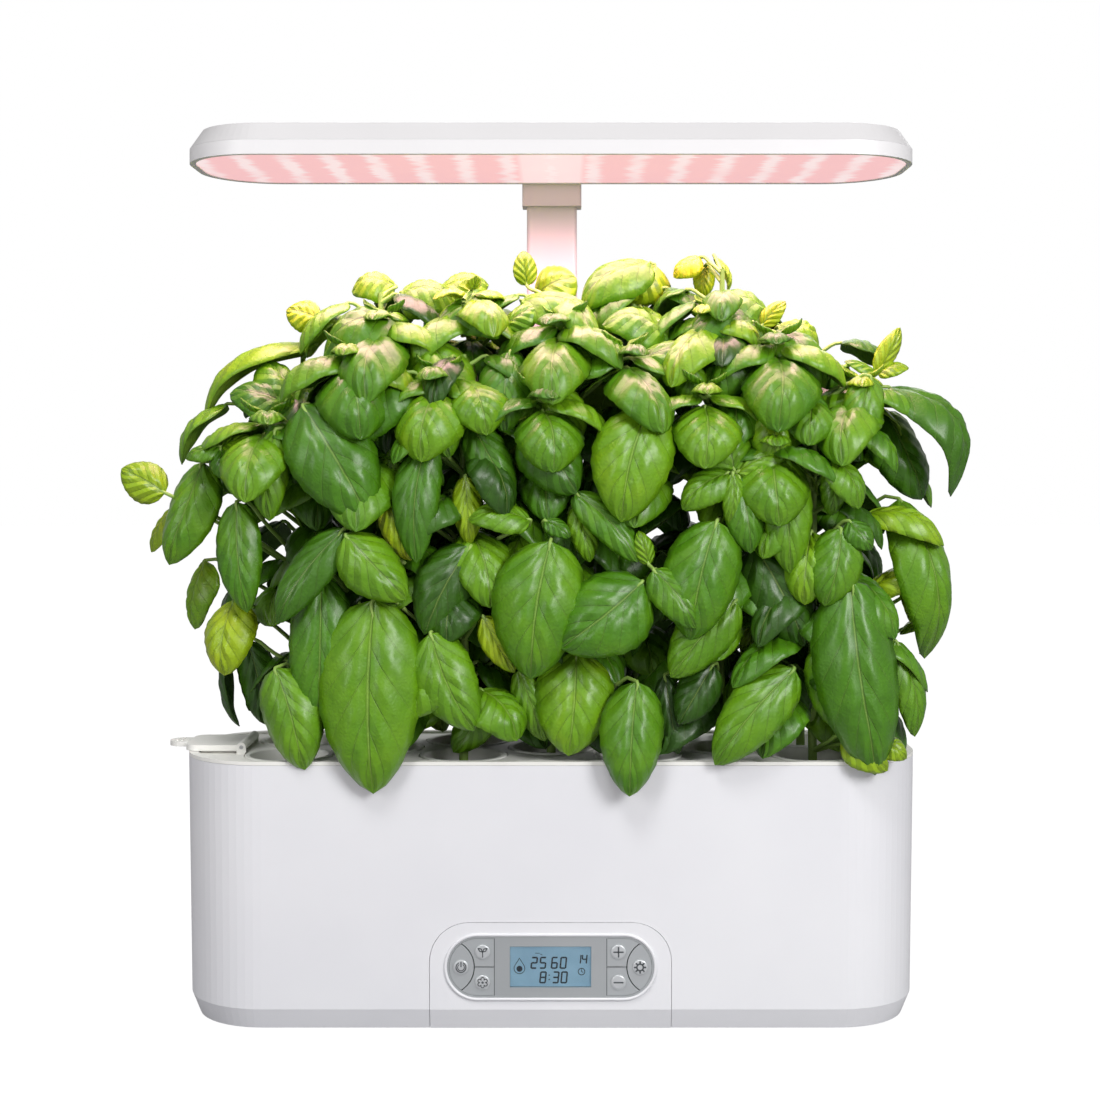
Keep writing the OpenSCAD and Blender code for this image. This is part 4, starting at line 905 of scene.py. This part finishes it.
def display_figures():
    parts = []
    for number, x, z, high in (("2", -8.2, 1.8, 5.3), ("5", -3.8, 1.8, 5.3), ("6", 2.0, 1.8, 5.3),
                               ("0", 6.4, 1.8, 5.3), ("8", -3.8, -5.5, 5.3),
                               ("3", 2.6, -5.5, 5.3), ("0", 6.8, -5.5, 5.3),
                               ("1", 14.0, 3.6, 4.3), ("4", 17.0, 3.6, 4.3)):
        parts += figure(number, x, z, high)
    for z in (-4.4, -6.6):
        parts.append(disc(-0.7, z, 0.36, figure_front, sides=16))
    # a clock: a ring and two hands
    parts.append(disc(15.5, -2.6, 1.85, figure_front, hole=1.45))
    parts.append(bar(15.5, -2.6, 15.5, -1.5, 0.35, figure_front))
    parts.append(bar(15.5, -2.6, 16.3, -3.0, 0.35, figure_front))
    # a water drop: an outline of short bars round a dot
    rim = []
    for i in range(17):
        a = math.radians(32 - i * 244 / 16)
        rim.append((-15.6 + 2.7 * math.cos(a), -1.0 + 2.7 * math.sin(a)))
    rim = [(-15.6, 4.1)] + rim + [(-15.6, 4.1)]
    parts += [bar(*a, *b, 0.32, figure_front) for a, b in zip(rim, rim[1:])]
    parts.append(disc(-15.6, -1.2, 1.5, figure_front, sides=28))
    # two short dashes over the figures
    parts.append(bar(-7.6, 6.6, -5.6, 6.6, 0.3, figure_front))
    parts.append(bar(-5.2, 6.2, -4.2, 5.8, 0.3, figure_front))
    name_piece(one_piece(parts), "display_figures", lcd_ink, "base")


def key_symbols():
    crown = bezel_face - DOME_HIGH
    ink = 0.5

    def symbol(parts, name, body):
        name_piece(one_piece(parts), name, key_ink_and_gap_shade, body)

    for s, body in ((-1, "power_key"), (1, "light_key")):
        key_dome(body + "_dome", body, s * END_KEY_X, 0.0)
    for s, part, body in ((-1, 1, "seedling_key"), (-1, -1, "bloom_key"), (1, 1, "plus_key"),
                          (1, -1, "minus_key")):
        key_dome(body + "_dome", body, s * KEY_X, part * KEY_Z)

    power = arc(-END_KEY_X, 0, 2.5, 118, 422, ink, crown, 14)
    power += arc(-END_KEY_X, 0, 1.7, 125, 415, ink * 0.8, crown, 12)
    power.append(bar(-END_KEY_X, 0.4, -END_KEY_X, 2.6, ink * 1.2, crown))
    symbol(power, "power_symbol", "power_key")

    # a young plant: a stem and two blades, each outlined by four strokes
    sprout = [bar(-KEY_X, KEY_Z - 2.4, -KEY_X, KEY_Z + 0.2, ink, crown)]
    for s in (-1, 1):
        for bend_x, bend_z in ((1.5, 0.5), (0.7, 1.6)):
            bend = (-KEY_X + s * bend_x, KEY_Z + bend_z)
            sprout += [bar(-KEY_X, KEY_Z + 0.1, *bend, ink, crown),
                       bar(*bend, -KEY_X + s * 2.3, KEY_Z + 1.9, ink, crown)]
    symbol(sprout, "seedling_symbol", "seedling_key")

    # an open flower: six petals round an eye
    flower = [disc(-KEY_X, -KEY_Z, 0.6, crown, sides=20)]
    for turn in range(30, 390, 60):
        a = math.radians(turn)
        flower += arc(-KEY_X + 1.75 * math.cos(a), -KEY_Z + 1.75 * math.sin(a), 0.85,
                      turn - 125, turn + 125, ink * 0.75, crown, 7)
    symbol(flower, "bloom_symbol", "bloom_key")

    symbol([bar(KEY_X - 2.3, KEY_Z, KEY_X + 2.3, KEY_Z, 0.75, crown),
            bar(KEY_X, KEY_Z - 2.3, KEY_X, KEY_Z + 2.3, 0.75, crown)], "plus_symbol", "plus_key")
    symbol([bar(KEY_X - 2.2, -KEY_Z, KEY_X + 2.2, -KEY_Z, 0.75, crown)],
           "minus_symbol", "minus_key")

    sun = [disc(END_KEY_X, 0, 2.0, crown, hole=1.25)]
    for turn in range(0, 360, 45):
        a = math.radians(turn)
        sun.append(bar(END_KEY_X + 2.05 * math.cos(a), 2.05 * math.sin(a),
                       END_KEY_X + 2.75 * math.cos(a), 2.75 * math.sin(a), 0.8, crown))
    symbol(sun, "light_symbol", "light_key")


def stadium_ring(name, wide, high, front, radius, finish):
    """A rounded bead that runs round the panel."""
    curve = new_curve(name, radius, 4)
    spline = curve.splines.new("POLY")
    straight, bend = (wide - high) / 2, high / 2
    spots = []
    for s in (1, -1):
        for i in range(25):
            a = math.radians(-90 + 180 * i / 24)
            spots.append((s * (straight + bend * math.cos(a)), s * bend * math.sin(a)))
    spline.points.add(len(spots) - 1)
    for knot, (x, z) in zip(spline.points, spots):
        knot.co = (x * MM, front * MM, (panel_z + z) * MM, 1)
    spline.use_cyclic_u = True
    ring = tube_mesh(name, curve)
    bpy.ops.object.shade_smooth()
    name_piece(ring, name, finish, "base")


def key_gap_painted_shade():
    """Painted shade in the gaps on both sides of the key groups: dark bars on the bezel."""
    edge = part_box("seedling_button")[1].x / MM
    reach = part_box("seedling_button")[1].z / MM - panel_z
    gap_shades = [bar(s * edge, -reach, s * edge, reach, 0.36, bezel_face - 0.03) for s in (-1, 1)]
    name_piece(one_piece(gap_shades), "key_gap_painted_shade", key_ink_and_gap_shade, "base")


display_figures()
key_symbols()
key_gap_painted_shade()
stadium_ring("panel_bead", 105.2, 32.2, bezel_face - 0.05, 0.75, white_abs)


# ---------- studio ----------
def studio():
    floor = begin(bpy.ops.mesh.primitive_plane_add, size=12)
    floor.name = "studio_floor"
    bpy.ops.object.transform_apply(location=True, rotation=True, scale=True)
    paper, tree, shader = new_finish("studio_white_paper", Roughness=0.9)
    where = place_of(tree)
    tree.links.new(mottled(tree, where, "#97979A", "#9B9B9E", 3.0), shader.inputs["Base Color"])
    # the paper glows for the lens alone, so that it is seen white but lights the object little
    own_light = add_node(tree, "ShaderNodeEmission", {"Color": (1, 1, 1, 1), "Strength": 1.12})
    seen_floor = add_node(tree, "ShaderNodeLightPath")
    share = add_node(tree, "ShaderNodeMath", {1: 0.9}, {0: seen_floor.outputs["Is Camera Ray"]},
                     operation="MULTIPLY")
    both = add_node(tree, "ShaderNodeMixShader", links={0: share.outputs[0],
                    1: shader.outputs[0], 2: own_light.outputs[0]})
    tree.links.new(both.outputs[0], tree.nodes["Material Output"].inputs["Surface"])
    floor.data.materials.append(paper)

    # the same for the world: full white for the lens, a third of it for the object
    world = bpy.data.worlds.new("studio_white")
    bpy.context.scene.world = world
    world.use_nodes = True
    tree = world.node_tree
    tree.nodes.clear()
    seen = add_node(tree, "ShaderNodeLightPath").outputs["Is Camera Ray"]
    white, lit = (add_node(tree, "ShaderNodeBackground", {"Color": (1, 1, 1, 1),
                           "Strength": strength}).outputs[0] for strength in (1.0, 0.34))
    pick = add_node(tree, "ShaderNodeMixShader", links={0: seen, 1: lit, 2: white})
    add_node(tree, "ShaderNodeOutputWorld", links={"Surface": pick.outputs[0]})

    def softbox(name, place, target, size, power, colour="#FFFFFF", spread=180):
        """An area light at place, turned to target; metres, watts and degrees."""
        light = bpy.data.objects.new(name, bpy.data.lights.new(name, "AREA"))
        bpy.context.scene.collection.objects.link(light)
        light.data.shape = "RECTANGLE"
        light.data.size, light.data.size_y = size
        light.data.energy = power
        light.data.color = hex_colour(colour)[:3]
        light.data.spread = math.radians(spread)
        light.location = place
        light.visible_camera = False
        aimed = Vector(target) - Vector(place)
        light.rotation_euler = aimed.to_track_quat("-Z", "Y").to_euler()
        return light

    softbox("key_softbox", (0.9, -1.2, 0.85), (0, 0, 0.22), (0.5, 0.6), 15.5)
    softbox("fill_softbox", (-1.1, -1.3, 0.7), (0, 0, 0.2), (0.35, 0.8), 5)
    softbox("rear_softbox", (0.2, 1.2, 1.2), (0, 0, 0.3), (1.2, 0.8), 6)
    softbox("top_softbox", (-0.25, -0.8, 1.45), (0, 0, 0.25), (0.4, 0.4), 7)
    # the pink light under the diffuser goes up and down with the lamp
    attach(softbox("grow_light", (0, -0.005, 0.4365), (0, -0.005, 0), (0.36, 0.07), 0.7,
                    "#FFBCCB", 128), "lamp")


studio()

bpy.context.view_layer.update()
